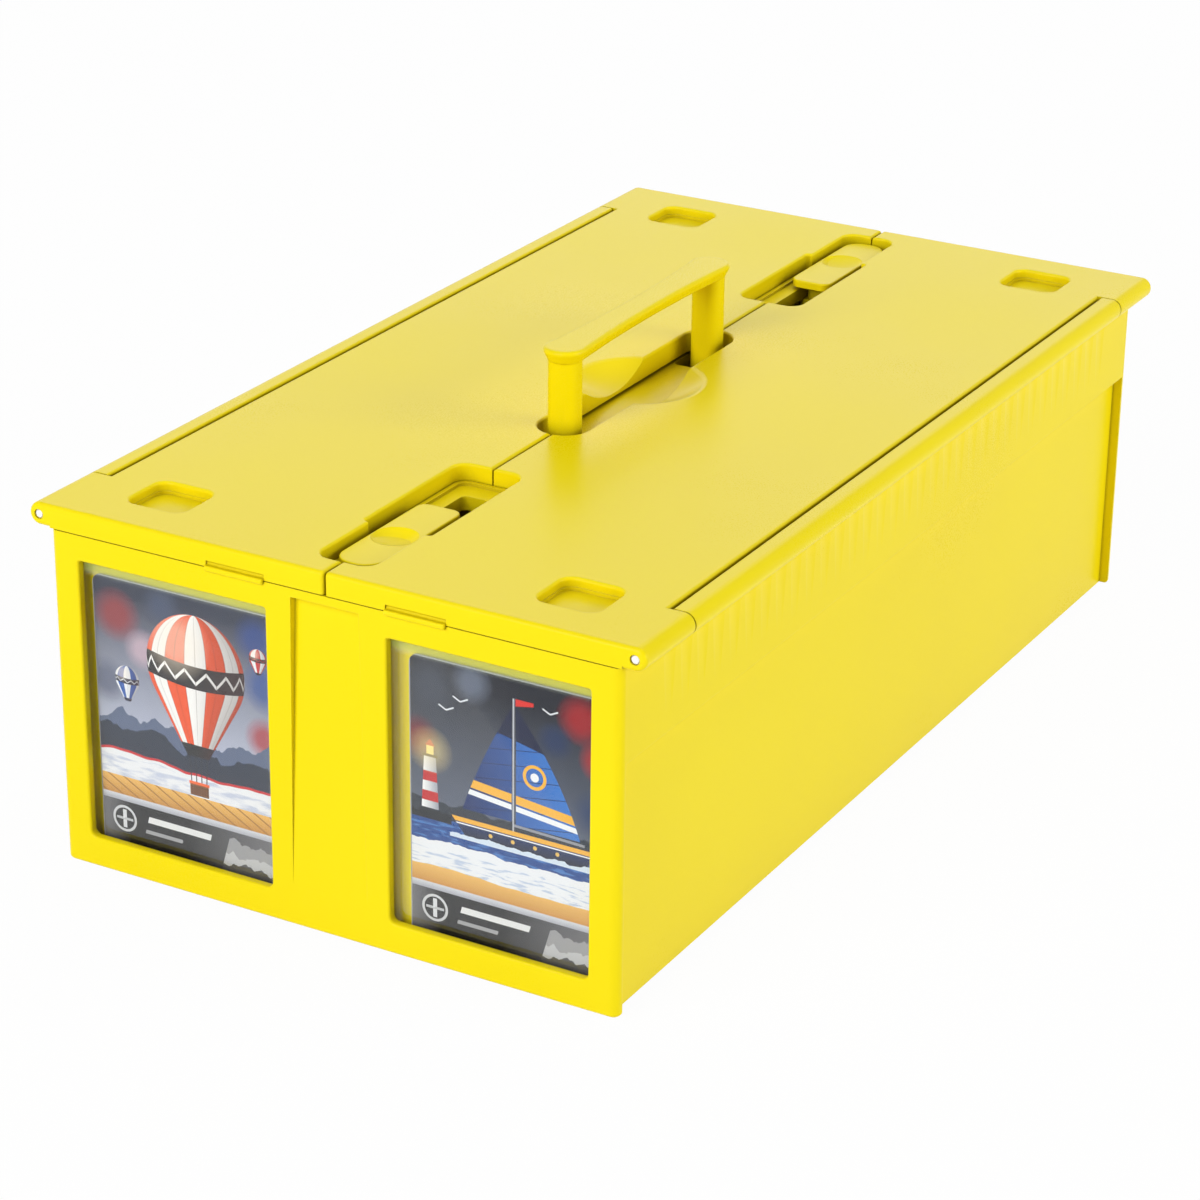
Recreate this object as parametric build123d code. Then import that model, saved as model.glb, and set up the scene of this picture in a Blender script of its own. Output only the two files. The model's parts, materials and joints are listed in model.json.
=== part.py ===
from build123d import *
from math import atan2, degrees
import os

# Two-row card storage box. The origin is under the middle of the case, on the surface that it
# stands on: +X is to the right of the front, +Y runs from the front end to the rear end, +Z is up.

# Case
panel_width = 184.6        # across an end panel
case_length = 349.8        # outer face of the front panel to outer face of the rear panel
tub_height = 104.3         # underside of the tub to its rim
floor_thickness = 2.5
side_wall = 2.0
side_step = 3.0            # how far end panels and fluted band stand out past the side walls
panel_flange = 3.0         # thickness of the end panel where it stands out
panel_edge_radius = 2.4    # upright outer edges of the end panels
panel_foot_radius = 1.2    # bottom edge of the end panels

# Stacking feet under the tub, and the pockets in the lids that take the feet of another case
foot_width = 18.2
foot_length = 17.0
foot_height = 3.0
foot_side_setback = 25.5   # side of the end panel to the middle of a foot
foot_end_setback = 23.0    # face of the end panel to the middle of a foot
foot_corner = 3.6
foot_edge_radius = 0.5     # rounding of the edge that a foot stands on
foot_clearance = 0.3
foot_pocket_step = 0.3     # ledge that widens the upper part of a pocket
foot_pocket_upper = 2.7    # depth of the wide upper part
foot_pocket_depth = 3.7
foot_pocket_rim = 0.9      # rounding of the pocket's top edge
foot_pocket_wall = 2.0

# End panels: a pocket for a window pane and a card behind each of two windows
outer_skin = 2.5
pocket_gap = 4.0
inner_skin = 2.0
pocket_lip = 2.5           # how far a pocket reaches past its window towards the middle
window_width = 63.3
window_side_margin = 9.3   # side of the end panel to the window
window_sill = 9.6          # underside of the tub to the window
window_head = 7.9          # rim of the tub to the window
window_low_corner = 2.0
window_high_corner = 0.8
window_edge = 0.8          # rounding of the window's outer edge
channel_top_width = 22.0   # tapered recess between the windows
channel_bottom_width = 24.8
channel_top_depth = 2.5
channel_bottom = 13.0      # underside of the tub to the end of the recess
channel_rim_gap = 2.6      # rim of the tub to the top of the recess

# Window panes and display cards
pane_thickness = 1.0
pane_clearance = 0.2
pane_rim_gap = 1.4         # top of a pane to the rim of the tub
card_width = 63.5
card_height = 88.9
card_thickness = 0.5
card_corner = 3.0
card_depth = 5.2           # outer face of the end panel to the face of the card
left_card_gap = 1.55       # left card to the end of its pocket beside the middle
right_card_gap = 0.15      # right card to the end of its pocket beside the wall

# Fluted band along the sides, and the long hinge barrel above it
band_height = 28.4
band_wall = 2.6
flute_pitch = 9.3
flute_end_margin = 20.0    # face of the end panel to the row of flutes
flute_width = 7.0          # at the top, where a flute is deepest
flute_depth = 0.28
flute_bottom = 1.2         # underside of the band to the end of the flutes
flute_top = 3.4            # rim to the top of the flutes
barrel_overhang = 3.7      # hinge axis outside the end panel's edge
barrel_inner_gap = 0.1     # inner face of the barrel inside the end panel's edge
barrel_inner_radius = 0.8
barrel_web = 2.4           # rim to the lower end of the web under the barrel
hinge_axial_gap = 0.6      # between barrel and knuckle
knuckle_length = 26.9      # knuckle of the lid at each end of the barrel

# Hinge pins
pin_diameter = 2.8
pin_seat_length = 13.0     # part of the pin that sits in the barrel
pin_running_clearance = 0.08
pin_seat_clearance = 0.01
pin_setback = 0.3          # pin end behind the lid's end face
pin_edge = 0.35

# Lids
lid_gap = 0.3              # tub rim to lid
lid_thickness = 6.8        # the barrels and knuckles are as thick
seam_gap = 0.5             # between the two lids
lid_skin = 2.8
lid_rim_wall = 2.5
lid_edge_radius = 1.3
seam_edge_radius = 1.1
lid_hinge_gap = 1.2        # slot between lid panel and barrel
lid_hinge_radius = 1.0     # rounding of the lid's edge along that slot
lid_rib_thickness = 1.6
lid_rib_pitch = 58.0
lid_spine_border = 12.9    # solid strip along the seam

# Lift tabs on the end faces of the lids
tab_width = 19.2
tab_x = 29.2
tab_reach = 1.2
tab_top = 0.6              # lid underside to the top of the tab
tab_drop = 1.0             # lid underside to the bottom of the tab
tab_running_gap = 0.3      # tab to the end panel behind it
tab_groove_radius = 0.6    # half-round groove above the tab
tab_lip_radius = 0.55

# Handle: grip and two posts, standing in a slot between the lids
post_y = 45.1
post_width = 10.0
post_depth = 8.2
post_corner = 3.4          # rounding of its upright edges
post_clearance = 0.3
grip_height = 25.1         # top of the grip above the lids when raised, and its travel
grip_end_radius = 7.2      # before its top edge is rounded
grip_waist = 5.5           # half width at the middle
grip_thickness = 4.1
grip_flare = 1.9           # how much narrower the underside is
grip_top_radius = 1.1
slot_clearance = 1.0       # grip to the slot in the lids
slot_edge_radius = 0.8
scoop_radius = 20.4        # finger scoop where it meets the lid top
scoop_sphere = 34.0
scoop_edge_radius = 3.0
stop_width = 13.4
stop_depth = 11.2
stop_thickness = 4.0
stop_gap = 0.3

# Centre spine between the two rows, and its cap
spine_half_width = 16.0
spine_wall = 2.0
spine_end_gap = 0.3
cap_thickness = 2.4
cap_below_rim = 0.8
cap_side_gap = 0.2
well_front = 37.5          # start of the well around a post
well_depth = 13.6
well_floor = 4.0
well_wall = 1.8
boss_x = 9.0
boss_y = 68.0
boss_radius = 3.6

# Sliding latches
latch_setback = 10.5       # face of the end panel to the slider plate at rest
front_latch_shift = 3.5    # how much further in the front latch stands
latch_length = 47.0
latch_half_width = 7.1
latch_plate = 2.5
latch_recess = 2.3         # slider plate below the lid top
latch_outer_corner = 6.4
latch_inner_corner = 3.4
latch_edge_radius = 0.5
latch_lock_travel = 1.0    # of the rear latch
latch_open_travel = 28.0   # of the rear latch
latch_clearance = 0.3
thumb_radius = 6.9         # rim of the thumb dish
thumb_offset = 1.7         # middle of the slider plate to the dish, towards the end panel
thumb_wall_radius = 10.0   # roundness of the dish's steep inner side
thumb_ramp = 10.0          # outer rim of the dish to its deepest place
thumb_depth = 2.0
recess_narrow = 9.1        # half width of the lid recess beside the slider
recess_wide = 11.0         # half width of the lid recess where the slider opens into
recess_step_gap = 1.6      # opened slider plate to the step where the recess widens
recess_end_gap = 2.9       # opened slider plate to the inner end of the recess
recess_corner = 4.6
recess_step_corner = 0.9
recess_edge_radius = 0.8
neck_half_width = 4.0
neck_setback = 12.7        # outer end of the slider plate to its neck
neck_length = 27.7
neck_corner = 2.0
platform_side_gap = 0.4    # raised guide on the cap to the lids around it
platform_rim = 1.5
platform_rim_height = 0.9
keeper_half_width = 6.6
keeper_thickness = 2.0
keeper_overlap = 1.2       # how far the keeper reaches past the neck at each end

# Screws: pan heads, all of one kind
screw_diameter = 2.2
screw_head_diameter = 4.4
screw_head_height = 1.4
screw_length = 7.0
screw_bore_clearance = 0.02
screw_hole_clearance = 0.15
screw_recess_diameter = 1.6
screw_recess_depth = 0.7
latch_screw_spread = 8.0   # from the middle of the neck

# Heights and places worked out from the sizes above
half_panel = panel_width / 2
half_length = case_length / 2
foot_x = half_panel - foot_side_setback
foot_y = half_length - foot_end_setback
tub_bottom = foot_height
floor_top = tub_bottom + floor_thickness
rim_z = tub_bottom + tub_height
lid_bottom = rim_z + lid_gap
lid_top = lid_bottom + lid_thickness
side_outer = half_panel - side_step
side_inner = side_outer - side_wall
window_height = tub_height - window_sill - window_head
window_x = half_panel - window_side_margin - window_width / 2
pocket_inner_x = window_x - window_width / 2 - pocket_lip
left_card_x = -(pocket_inner_x + left_card_gap + card_width / 2)
right_card_x = side_inner - right_card_gap - card_width / 2
flute_count = int((case_length - 2 * flute_end_margin) / flute_pitch)
end_inner = half_length - outer_skin - pocket_gap - inner_skin
barrel_radius = lid_thickness / 2
hinge_x = half_panel + barrel_overhang
hinge_z = lid_top - barrel_radius
barrel_inner_x = half_panel - barrel_inner_gap
lid_outer_x = barrel_inner_x - lid_hinge_gap
lid_inner_x = seam_gap / 2
knuckle_start = half_length - knuckle_length
barrel_half_length = knuckle_start - hinge_axial_gap
latch_outer = half_length - latch_setback
latch_inner = latch_outer - latch_length
latch_bottom = lid_top - latch_recess - latch_plate
platform_top = latch_bottom - latch_clearance
platform_floor = platform_top - platform_rim_height
cap_top = rim_z - cap_below_rim
cap_bottom = cap_top - cap_thickness
recess_outer = latch_outer + latch_lock_travel + latch_clearance
recess_step = latch_outer - latch_open_travel + recess_step_gap
recess_inner = latch_inner - latch_open_travel - recess_end_gap
neck_outer = latch_outer - neck_setback
neck_inner = neck_outer - neck_length
ledge_start = latch_outer + latch_clearance
slot_half_width = grip_end_radius + slot_clearance
grip_top_z = lid_top + grip_height
grip_bottom_z = grip_top_z - grip_thickness
post_bottom = cap_top - well_depth - well_floor - stop_gap
well_back = post_y + slot_half_width
pin_inner = barrel_half_length - pin_seat_length
pin_outer = half_length - pin_setback
scoop_centre = (scoop_sphere ** 2 - scoop_radius ** 2) ** 0.5
guide_slot_inner = neck_inner - latch_open_travel - latch_clearance
guide_slot_outer = neck_outer + latch_lock_travel + latch_clearance
guide_slot_half_width = neck_half_width + latch_clearance


def block(x0, x1, y0, y1, z0, z1):
    """Box between two opposite corners."""
    centre = ((x0 + x1) / 2, (y0 + y1) / 2, (z0 + z1) / 2)
    return Pos(*centre) * Box(x1 - x0, y1 - y0, z1 - z0)


def rounded_block(centre_x, centre_y, width, length, corner, z0, z1):
    """Upright block with rounded corners, from z0 up to z1."""
    outline = RectangleRounded(width, length, corner)
    return Pos(centre_x, centre_y, z0) * extrude(outline, z1 - z0)


def upright(x, y, radius, z0, z1):
    """Round upright post from z0 up to z1."""
    return Pos(x, y, (z0 + z1) / 2) * Cylinder(radius, z1 - z0)


def along_y(x, z, radius, y0, y1):
    """Round bar that lies along Y, from y0 to y1."""
    return Pos(x, (y0 + y1) / 2, z) * Rot(90, 0, 0) * Cylinder(radius, y1 - y0)


def corner_mirrors(shape):
    """The shape and its three mirror images about the middle planes of the case."""
    pair = shape + mirror(shape, Plane.YZ)
    return pair + mirror(pair, Plane.XZ)


def two_corner_outline(half_width, low, high, low_corner, high_corner):
    """Rectangle about the Y axis whose corners have one size at its low end and one at its high end."""
    outline = Pos(0, (low + high) / 2) * Rectangle(2 * half_width, high - low)
    outline = fillet(outline.vertices().group_by(Axis.Y)[0], low_corner)
    return fillet(outline.vertices().group_by(Axis.Y)[-1], high_corner)


def edges_along(shape, axis, test):
    """Straight edges that lie along an axis and whose centre passes the test."""
    return [edge for edge in shape.edges().filter_by(axis) if test(edge.center())]


def near(value, target):
    """Whether two lengths are the same place on the model."""
    return abs(value - target) < 0.01


def screw(x, y, head_z, pointing_up):
    """Pan-head screw whose head's underside is at head_z."""
    shank = upright(x, y, screw_diameter / 2, head_z - screw_length, head_z)
    head = upright(x, y, screw_head_diameter / 2, head_z, head_z + screw_head_height)
    head = fillet(head.edges().group_by(Axis.Z)[-1], screw_head_height / 3)
    top = head_z + screw_head_height
    drive = upright(x, y, screw_recess_diameter / 2, top - screw_recess_depth, top)
    whole = shank + head - drive
    if pointing_up:
        whole = mirror(whole, Plane.XY.offset(head_z))
    return whole


def soft_rim(cutter, radius):
    """Cutter below Z=0 with a brim above it, which rounds the rim of its cut by the radius."""
    low, high = cutter.bounding_box().min, cutter.bounding_box().max
    margin = 2 * radius
    whole = cutter + block(low.X - margin, high.X + margin, low.Y - margin, high.Y + margin, 0, radius)
    under = [face for face in whole.faces() if near(face.center().Z, 0) and face.inner_wires()]
    return whole.fillet(radius, under[0].inner_wires()[0].edges())


def sunk(outline, depth, radius):
    """Cutter of an outline that is sunk below Z=0, with a rounded rim."""
    return soft_rim(Pos(0, 0, -depth) * extrude(outline, depth), radius)


def flute_cutter():
    """The row of shallow upright flutes in the right side band, which run out towards its foot."""
    radius = (flute_width ** 2 / 4 + flute_depth ** 2) / (2 * flute_depth)
    foot = rim_z - band_height + flute_bottom
    height = band_height - flute_bottom - flute_top
    lean = degrees(atan2(flute_depth, height))
    outline = Circle(radius) & Pos(-radius, 0) * Rectangle(radius, flute_width)
    flute = Pos(half_panel, 0, foot) * Rot(0, -lean, 0) * Pos(radius, 0, 0) * extrude(outline, height)
    first = -(flute_count - 1) / 2 * flute_pitch
    return [Pos(0, first + number * flute_pitch, 0) * flute for number in range(flute_count)]


def barrel():
    """Hinge barrel on the right side, with the web that joins it to the band."""
    inner = barrel_inner_x
    web_z = rim_z - barrel_web
    web_run = (hinge_x + hinge_z - half_panel - web_z) / 2
    outline = make_face(Polyline(
        (inner, lid_top), (hinge_x, lid_top), (hinge_x, hinge_z), (half_panel + web_run, web_z + web_run),
        (half_panel, web_z), (side_outer, web_z), (side_outer, rim_z), (inner, rim_z), close=True))
    corner = [v for v in outline.vertices() if near(v.X, inner) and near(v.Y, lid_top)]
    outline = fillet(corner, barrel_inner_radius) + Pos(hinge_x, hinge_z) * Circle(barrel_radius)
    return extrude(Plane.XZ * outline, barrel_half_length, both=True)


def window_opening():
    """Opening of the right front window, with its rounded outer edge."""
    middle_z = tub_bottom + window_sill + window_height / 2
    face = Plane(origin=(window_x, -half_length, middle_z), x_dir=(1, 0, 0), z_dir=(0, -1, 0))
    outline = two_corner_outline(window_width / 2, -window_height / 2, window_height / 2,
                                 window_low_corner, window_high_corner)
    return face * sunk(outline, outer_skin + pocket_gap / 2, window_edge)


def end_channel():
    """Tapered recess between the two front windows, deepest at its top."""
    top = rim_z - channel_rim_gap
    bottom = tub_bottom + channel_bottom
    wedge = Plane.YZ * make_face(Polyline(
        (-half_length - 1, top), (-half_length + channel_top_depth, top),
        (-half_length, bottom), (-half_length - 1, bottom), close=True))
    face = Plane.XZ * make_face(Polyline(
        (-channel_top_width / 2, top), (channel_top_width / 2, top),
        (channel_bottom_width / 2, bottom), (-channel_bottom_width / 2, bottom), close=True))
    return extrude(wedge, channel_bottom_width, both=True) & extrude(face, half_length + 1)


def make_tub():
    """Floor, walls, end panels, bands and barrels, moulded in one piece."""
    body = block(-side_outer, side_outer, -half_length, half_length, tub_bottom, rim_z)
    for y0, y1 in ((-half_length, panel_flange - half_length), (half_length - panel_flange, half_length)):
        body += block(-half_panel, half_panel, y0, y1, tub_bottom, rim_z)
    body += block(-half_panel, half_panel, -half_length, half_length, rim_z - band_height, rim_z)
    corners = edges_along(body, Axis.Z, lambda c: near(abs(c.X), half_panel) and near(abs(c.Y), half_length))
    body = fillet(corners, panel_edge_radius)
    feet = [e for e in body.edges()
            if near(e.center().Z, tub_bottom) and near(abs(e.center().Y), half_length)]
    body = fillet(feet, panel_foot_radius)
    body -= block(-side_inner, side_inner, -end_inner, end_inner, floor_top, rim_z)
    behind_band = half_panel - band_wall
    body -= block(-behind_band, behind_band, -end_inner, end_inner, rim_z - band_height + side_wall, rim_z)
    pocket = block(pocket_inner_x, side_inner, -half_length + outer_skin,
                   -half_length + outer_skin + pocket_gap, floor_top, rim_z)
    body -= corner_mirrors(pocket + window_opening())
    body -= end_channel() + mirror(end_channel(), Plane.XZ)
    flutes = flute_cutter()
    body -= flutes + [mirror(flute, Plane.YZ) for flute in flutes]
    bar = barrel()
    bore = along_y(hinge_x, hinge_z, pin_diameter / 2 + pin_seat_clearance, pin_inner, barrel_half_length)
    bar -= bore + mirror(bore, Plane.XZ)
    body += bar + mirror(bar, Plane.YZ)
    head = upright(boss_x, boss_y, screw_head_diameter / 2 + screw_hole_clearance,
                   tub_bottom, tub_bottom + screw_head_height)
    hole = upright(boss_x, boss_y, screw_diameter / 2 + screw_hole_clearance, tub_bottom, floor_top)
    return body - corner_mirrors(head + hole)


def make_foot():
    """Stacking foot in the rear right, stuck to the underside of the tub."""
    foot = rounded_block(foot_x, foot_y, foot_width, foot_length, foot_corner, 0, tub_bottom)
    return fillet(foot.edges().group_by(Axis.Z)[0], foot_edge_radius)


def make_spine():
    """Open-topped box between the two rows of cards, with four screw bosses."""
    end = end_inner - spine_end_gap
    body = block(-spine_half_width, spine_half_width, -end, end, floor_top, cap_bottom)
    inside = spine_half_width - spine_wall
    body -= block(-inside, inside, -end + spine_wall, end - spine_wall, floor_top + spine_wall, cap_bottom)
    for side in (-1, 1):
        web = side * boss_y
        body += block(-inside, inside, web - spine_wall / 2, web + spine_wall / 2, floor_top, cap_bottom)
    body += corner_mirrors(upright(boss_x, boss_y, boss_radius, floor_top, cap_bottom))
    bore = screw_diameter / 2 + screw_bore_clearance
    low = upright(boss_x, boss_y, bore, floor_top, floor_top + screw_length)
    high = upright(boss_x, boss_y, bore, cap_bottom - screw_length, cap_bottom)
    return body - corner_mirrors(low + high)


def recess_outline(side_gap, inner, outer):
    """Outline of the latch recess in the lids, or of the raised guide that stands in it."""
    step = recess_step - side_gap
    half = recess_narrow - side_gap
    corner = recess_corner - side_gap
    outline = two_corner_outline(recess_wide - side_gap, inner, step, corner, recess_step_corner)
    outline += two_corner_outline(half, step - recess_corner, outer, recess_step_corner, corner)
    steps = [vertex for vertex in outline.vertices() if near(abs(vertex.X), half) and near(vertex.Y, step)]
    return fillet(steps, recess_step_corner)


def latch_guide():
    """Raised guide of the rear latch on the cap, with its rim and sunk floor."""
    outer = latch_outer - latch_lock_travel
    raised = recess_outline(platform_side_gap, recess_inner + platform_side_gap, outer)
    inset = platform_side_gap + platform_rim
    lowered = recess_outline(inset, recess_inner + inset, outer - platform_rim)
    solid = Pos(0, 0, cap_top) * extrude(raised, platform_top - cap_top)
    return solid - Pos(0, 0, platform_floor) * extrude(lowered, platform_top - platform_floor)


def make_cap():
    """Cap of the spine, with the latch guides and a well and guide for each handle post."""
    half = spine_half_width
    end = end_inner - spine_end_gap
    body = block(-half, half, -end, end, cap_bottom, cap_top)
    guide = latch_guide()
    body += guide + mirror(guide, Plane.XZ)
    slot_width = 2 * guide_slot_half_width
    slot_length = guide_slot_outer - guide_slot_inner
    slot_middle = (guide_slot_outer + guide_slot_inner) / 2
    slot = rounded_block(0, slot_middle, slot_width, slot_length, neck_corner, cap_bottom, platform_top)
    well_length = well_back - well_front
    well_middle = (well_back + well_front) / 2
    floor_z = cap_top - well_depth
    outside = rounded_block(0, well_middle, 2 * (slot_half_width + well_wall), well_length + 2 * well_wall,
                            neck_corner + well_wall, floor_z - well_floor, cap_top)
    inside = rounded_block(0, well_middle, 2 * slot_half_width, well_length, neck_corner, floor_z, cap_top)
    passage = post_bar(post_clearance, floor_z - well_floor, floor_z)
    body += outside + mirror(outside, Plane.XZ)
    cut = slot + inside + passage
    hole = upright(boss_x, boss_y, screw_diameter / 2 + screw_hole_clearance, cap_bottom, cap_top)
    head = upright(boss_x, boss_y, screw_head_diameter / 2 + screw_hole_clearance,
                   cap_top - screw_head_height, cap_top)
    return body - cut - mirror(cut, Plane.XZ) - corner_mirrors(hole + head)


def post_bar(clearance, z0, z1):
    """Round-edged bar of the rear handle post, grown by a clearance."""
    outline = RectangleRounded(post_width + 2 * clearance, post_depth + 2 * clearance,
                               post_corner + clearance)
    return Pos(0, post_y, z0) * extrude(outline, z1 - z0)


def grip_outline(inset):
    """Long outline of the grip, round at its ends and drawn in at its waist."""
    end = grip_end_radius - inset
    waist = grip_waist - inset
    right = ThreePointArc((end, -post_y), (waist, 0), (end, post_y))
    rear = ThreePointArc((end, post_y), (0, post_y + end), (-end, post_y))
    left = ThreePointArc((-end, post_y), (-waist, 0), (-end, -post_y))
    front = ThreePointArc((-end, -post_y), (0, -post_y - end), (end, -post_y))
    return make_face([right, rear, left, front])


def make_handle():
    """Grip and its two posts, moulded in one piece, in the raised position."""
    low = Plane.XY.offset(grip_bottom_z) * grip_outline(grip_flare)
    high = Plane.XY.offset(grip_top_z) * grip_outline(0)
    grip = loft([low, high], ruled=True)
    grip = fillet(grip.edges().group_by(Axis.Z)[-1], grip_top_radius)
    post = post_bar(0, post_bottom, grip_bottom_z + grip_thickness / 2)
    bore = upright(0, post_y, screw_diameter / 2 + screw_bore_clearance,
                   post_bottom, post_bottom + screw_length - stop_thickness)
    return grip + post + mirror(post, Plane.XZ) - bore - mirror(bore, Plane.XZ)


def make_handle_stop():
    """Stop block under the rear handle post, which keeps the post in its guide."""
    block_z = post_bottom - stop_thickness
    body = rounded_block(0, post_y, stop_width, stop_depth, post_corner, block_z, post_bottom)
    return body - upright(0, post_y, screw_diameter / 2 + screw_bore_clearance, block_z, post_bottom)


def lid_pocket():
    """Stepped pocket in the rear right of the lid for a foot of another case."""
    width = foot_width + 2 * foot_clearance
    length = foot_length + 2 * foot_clearance
    step = 2 * foot_pocket_step
    upper = sunk(RectangleRounded(width + step, length + step, foot_corner + foot_pocket_step),
                 foot_pocket_upper, foot_pocket_rim)
    lower = Pos(0, 0, -foot_pocket_depth) * extrude(RectangleRounded(width, length, foot_corner),
                                                    foot_pocket_depth)
    return Pos(foot_x, foot_y, lid_top) * (upper + lower)


def finger_scoop():
    """Dish in the lid tops beside the grip, with a softly rounded rim."""
    reach = 2 * scoop_radius
    dish = Pos(0, 0, scoop_centre) * Sphere(scoop_sphere) & block(-reach, reach, -reach, reach, -reach, 0)
    return Pos(0, 0, lid_top) * soft_rim(dish, scoop_edge_radius)


def lid_cavity():
    """Hollow under the right lid, between its rim, ribs and the walls of its pockets."""
    far = half_length - lid_rim_wall
    roof = lid_top - lid_skin
    body = block(lid_spine_border, lid_outer_x - lid_rim_wall, -far, far, lid_bottom, roof)
    for y in [number * lid_rib_pitch for number in (-2, -1, 1, 2)]:
        body -= block(lid_spine_border, lid_outer_x, y - lid_rib_thickness / 2, y + lid_rib_thickness / 2,
                      lid_bottom, roof)
    boss = foot_width + 2 * (foot_clearance + foot_pocket_step + foot_pocket_wall)
    for side in (-1, 1):
        body -= rounded_block(foot_x, side * foot_y, boss, boss, foot_corner, lid_bottom, roof)
    return body - upright(0, 0, scoop_radius + foot_pocket_wall, lid_bottom, roof)


def lid_plate():
    """Plain right lid: a plate whose outer edge is as round as the hinge barrel."""
    outline = make_face(Polyline((lid_inner_x, lid_bottom), (hinge_x, lid_bottom), (hinge_x, lid_top),
                                 (lid_inner_x, lid_top), close=True))
    outline += Pos(hinge_x, hinge_z) * Circle(barrel_radius)
    body = extrude(Plane.XZ * outline, half_length, both=True)
    ends = [e for e in body.edges()
            if near(abs(e.center().Y), half_length) and not near(e.center().X, lid_inner_x)]
    body = fillet(ends, lid_edge_radius)
    square_top = lid_bottom + lid_edge_radius
    body += block(lid_inner_x, half_panel, -half_length, half_length, lid_bottom, square_top)
    seam = [e for e in body.edges() if near(e.center().X, lid_inner_x) and near(e.center().Z, lid_top)]
    return fillet(seam, seam_edge_radius)


def lift_tab():
    """Lift tab on the front end of the right lid, clear of the end panel behind it."""
    left, right = tab_x - tab_width / 2, tab_x + tab_width / 2
    tip = -half_length - tab_reach
    top = lid_bottom + tab_top
    low = lid_bottom - tab_drop
    lip = block(left, right, tip, -half_length + lid_rim_wall / 2, lid_bottom, top)
    lip += block(left, right, tip, -half_length - tab_running_gap, low, top)
    edges = [e for e in lip.edges() if near(e.center().Y, tip)]
    lip = fillet(edges, tab_lip_radius)
    groove = Rot(0, 90, 0) * Cylinder(tab_groove_radius, tab_width)
    groove = Pos(tab_x, -half_length, top + tab_groove_radius) * groove
    return lip, groove


def make_right_lid():
    """Right lid with its two hinge knuckles, recesses, finger scoop and lift tabs."""
    body = lid_plate()
    body -= block(lid_outer_x, hinge_x + 2 * barrel_radius, -knuckle_start, knuckle_start,
                  hinge_z - 2 * barrel_radius, hinge_z + 2 * barrel_radius)
    outer_edge = [e for e in body.edges() if near(e.center().X, lid_outer_x) and near(e.center().Z, lid_top)]
    body = fillet(outer_edge, lid_hinge_radius)
    body -= lid_cavity()
    slot = Rot(0, 0, 90) * SlotCenterToCenter(2 * post_y, 2 * slot_half_width)
    body -= Pos(0, 0, lid_top) * sunk(slot, lid_thickness, slot_edge_radius)
    body -= finger_scoop()
    recess = sunk(recess_outline(0, recess_inner, recess_outer), lid_thickness, recess_edge_radius)
    ledge = block(-recess_narrow, recess_narrow, ledge_start, recess_outer, lid_bottom, platform_top)
    latch_cut = Pos(0, 0, lid_top) * recess - ledge
    body -= latch_cut + mirror(latch_cut, Plane.XZ)
    pocket = lid_pocket()
    body -= pocket + mirror(pocket, Plane.XZ)
    bore = along_y(hinge_x, hinge_z, pin_diameter / 2 + pin_running_clearance, knuckle_start, half_length)
    body -= bore + mirror(bore, Plane.XZ)
    lip, groove = lift_tab()
    body += lip + mirror(lip, Plane.XZ)
    return body - groove - mirror(groove, Plane.XZ)


def make_hinge_pin():
    """Steel pin of the rear right hinge, seated in the barrel and free in the lid's knuckle."""
    pin = along_y(hinge_x, hinge_z, pin_diameter / 2, pin_inner, pin_outer)
    return chamfer(pin.edges().filter_by(GeomType.CIRCLE), pin_edge)


def thumb_dish():
    """Cutter of the rear slider's thumb dish: a ramp that runs in to a steep round wall."""
    top = latch_bottom + latch_plate
    middle = (latch_inner + latch_outer) / 2 + thumb_offset
    wall_height = (thumb_wall_radius ** 2 - thumb_radius ** 2) ** 0.5
    ramp_radius = (thumb_ramp ** 2 + thumb_depth ** 2) / (2 * thumb_depth)
    wall = Pos(0, middle, top + wall_height) * Sphere(thumb_wall_radius)
    deepest_y = middle + thumb_radius - thumb_ramp
    return wall & Pos(0, deepest_y, top - thumb_depth + ramp_radius) * Sphere(ramp_radius)


def make_latch_slider():
    """Slider of the rear latch: plate with a thumb dish, and the neck under it."""
    outline = two_corner_outline(latch_half_width, latch_inner, latch_outer,
                                 latch_inner_corner, latch_outer_corner)
    plate = Pos(0, 0, latch_bottom) * extrude(outline, latch_plate)
    plate = fillet(plate.edges().group_by(Axis.Z)[-1], latch_edge_radius)
    plate -= thumb_dish()
    keeper_top = cap_bottom - latch_clearance
    neck = rounded_block(0, (neck_inner + neck_outer) / 2, 2 * neck_half_width, neck_outer - neck_inner,
                         neck_corner - latch_clearance, keeper_top, latch_bottom)
    bores = latch_screw_bores(keeper_top, keeper_top + screw_length - keeper_thickness)
    return plate + neck - bores


def latch_screw_bores(z0, z1):
    """Upright bores for the two screws of the rear latch."""
    middle = (neck_inner + neck_outer) / 2
    radius = screw_diameter / 2 + screw_bore_clearance
    return upright(0, middle - latch_screw_spread, radius, z0, z1) + \
        upright(0, middle + latch_screw_spread, radius, z0, z1)


def make_latch_keeper():
    """Keeper plate that holds the rear slider's neck under the cap."""
    top = cap_bottom - latch_clearance
    length = neck_outer - neck_inner + 2 * keeper_overlap
    body = rounded_block(0, (neck_inner + neck_outer) / 2, 2 * keeper_half_width, length, neck_corner,
                         top - keeper_thickness, top)
    return body - latch_screw_bores(top - keeper_thickness, top)


def make_latch_screws():
    """Two screws that fasten the rear keeper to its slider."""
    head_z = cap_bottom - latch_clearance - keeper_thickness
    middle = (neck_inner + neck_outer) / 2
    return [screw(0, middle + side * latch_screw_spread, head_z, True) for side in (-1, 1)]


def make_pane():
    """Clear window pane behind the right rear window."""
    y1 = half_length - outer_skin - pane_clearance / 2
    return block(pocket_inner_x + pane_clearance, side_inner - pane_clearance,
                 y1 - pane_thickness, y1, floor_top, rim_z - pane_rim_gap)


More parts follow.
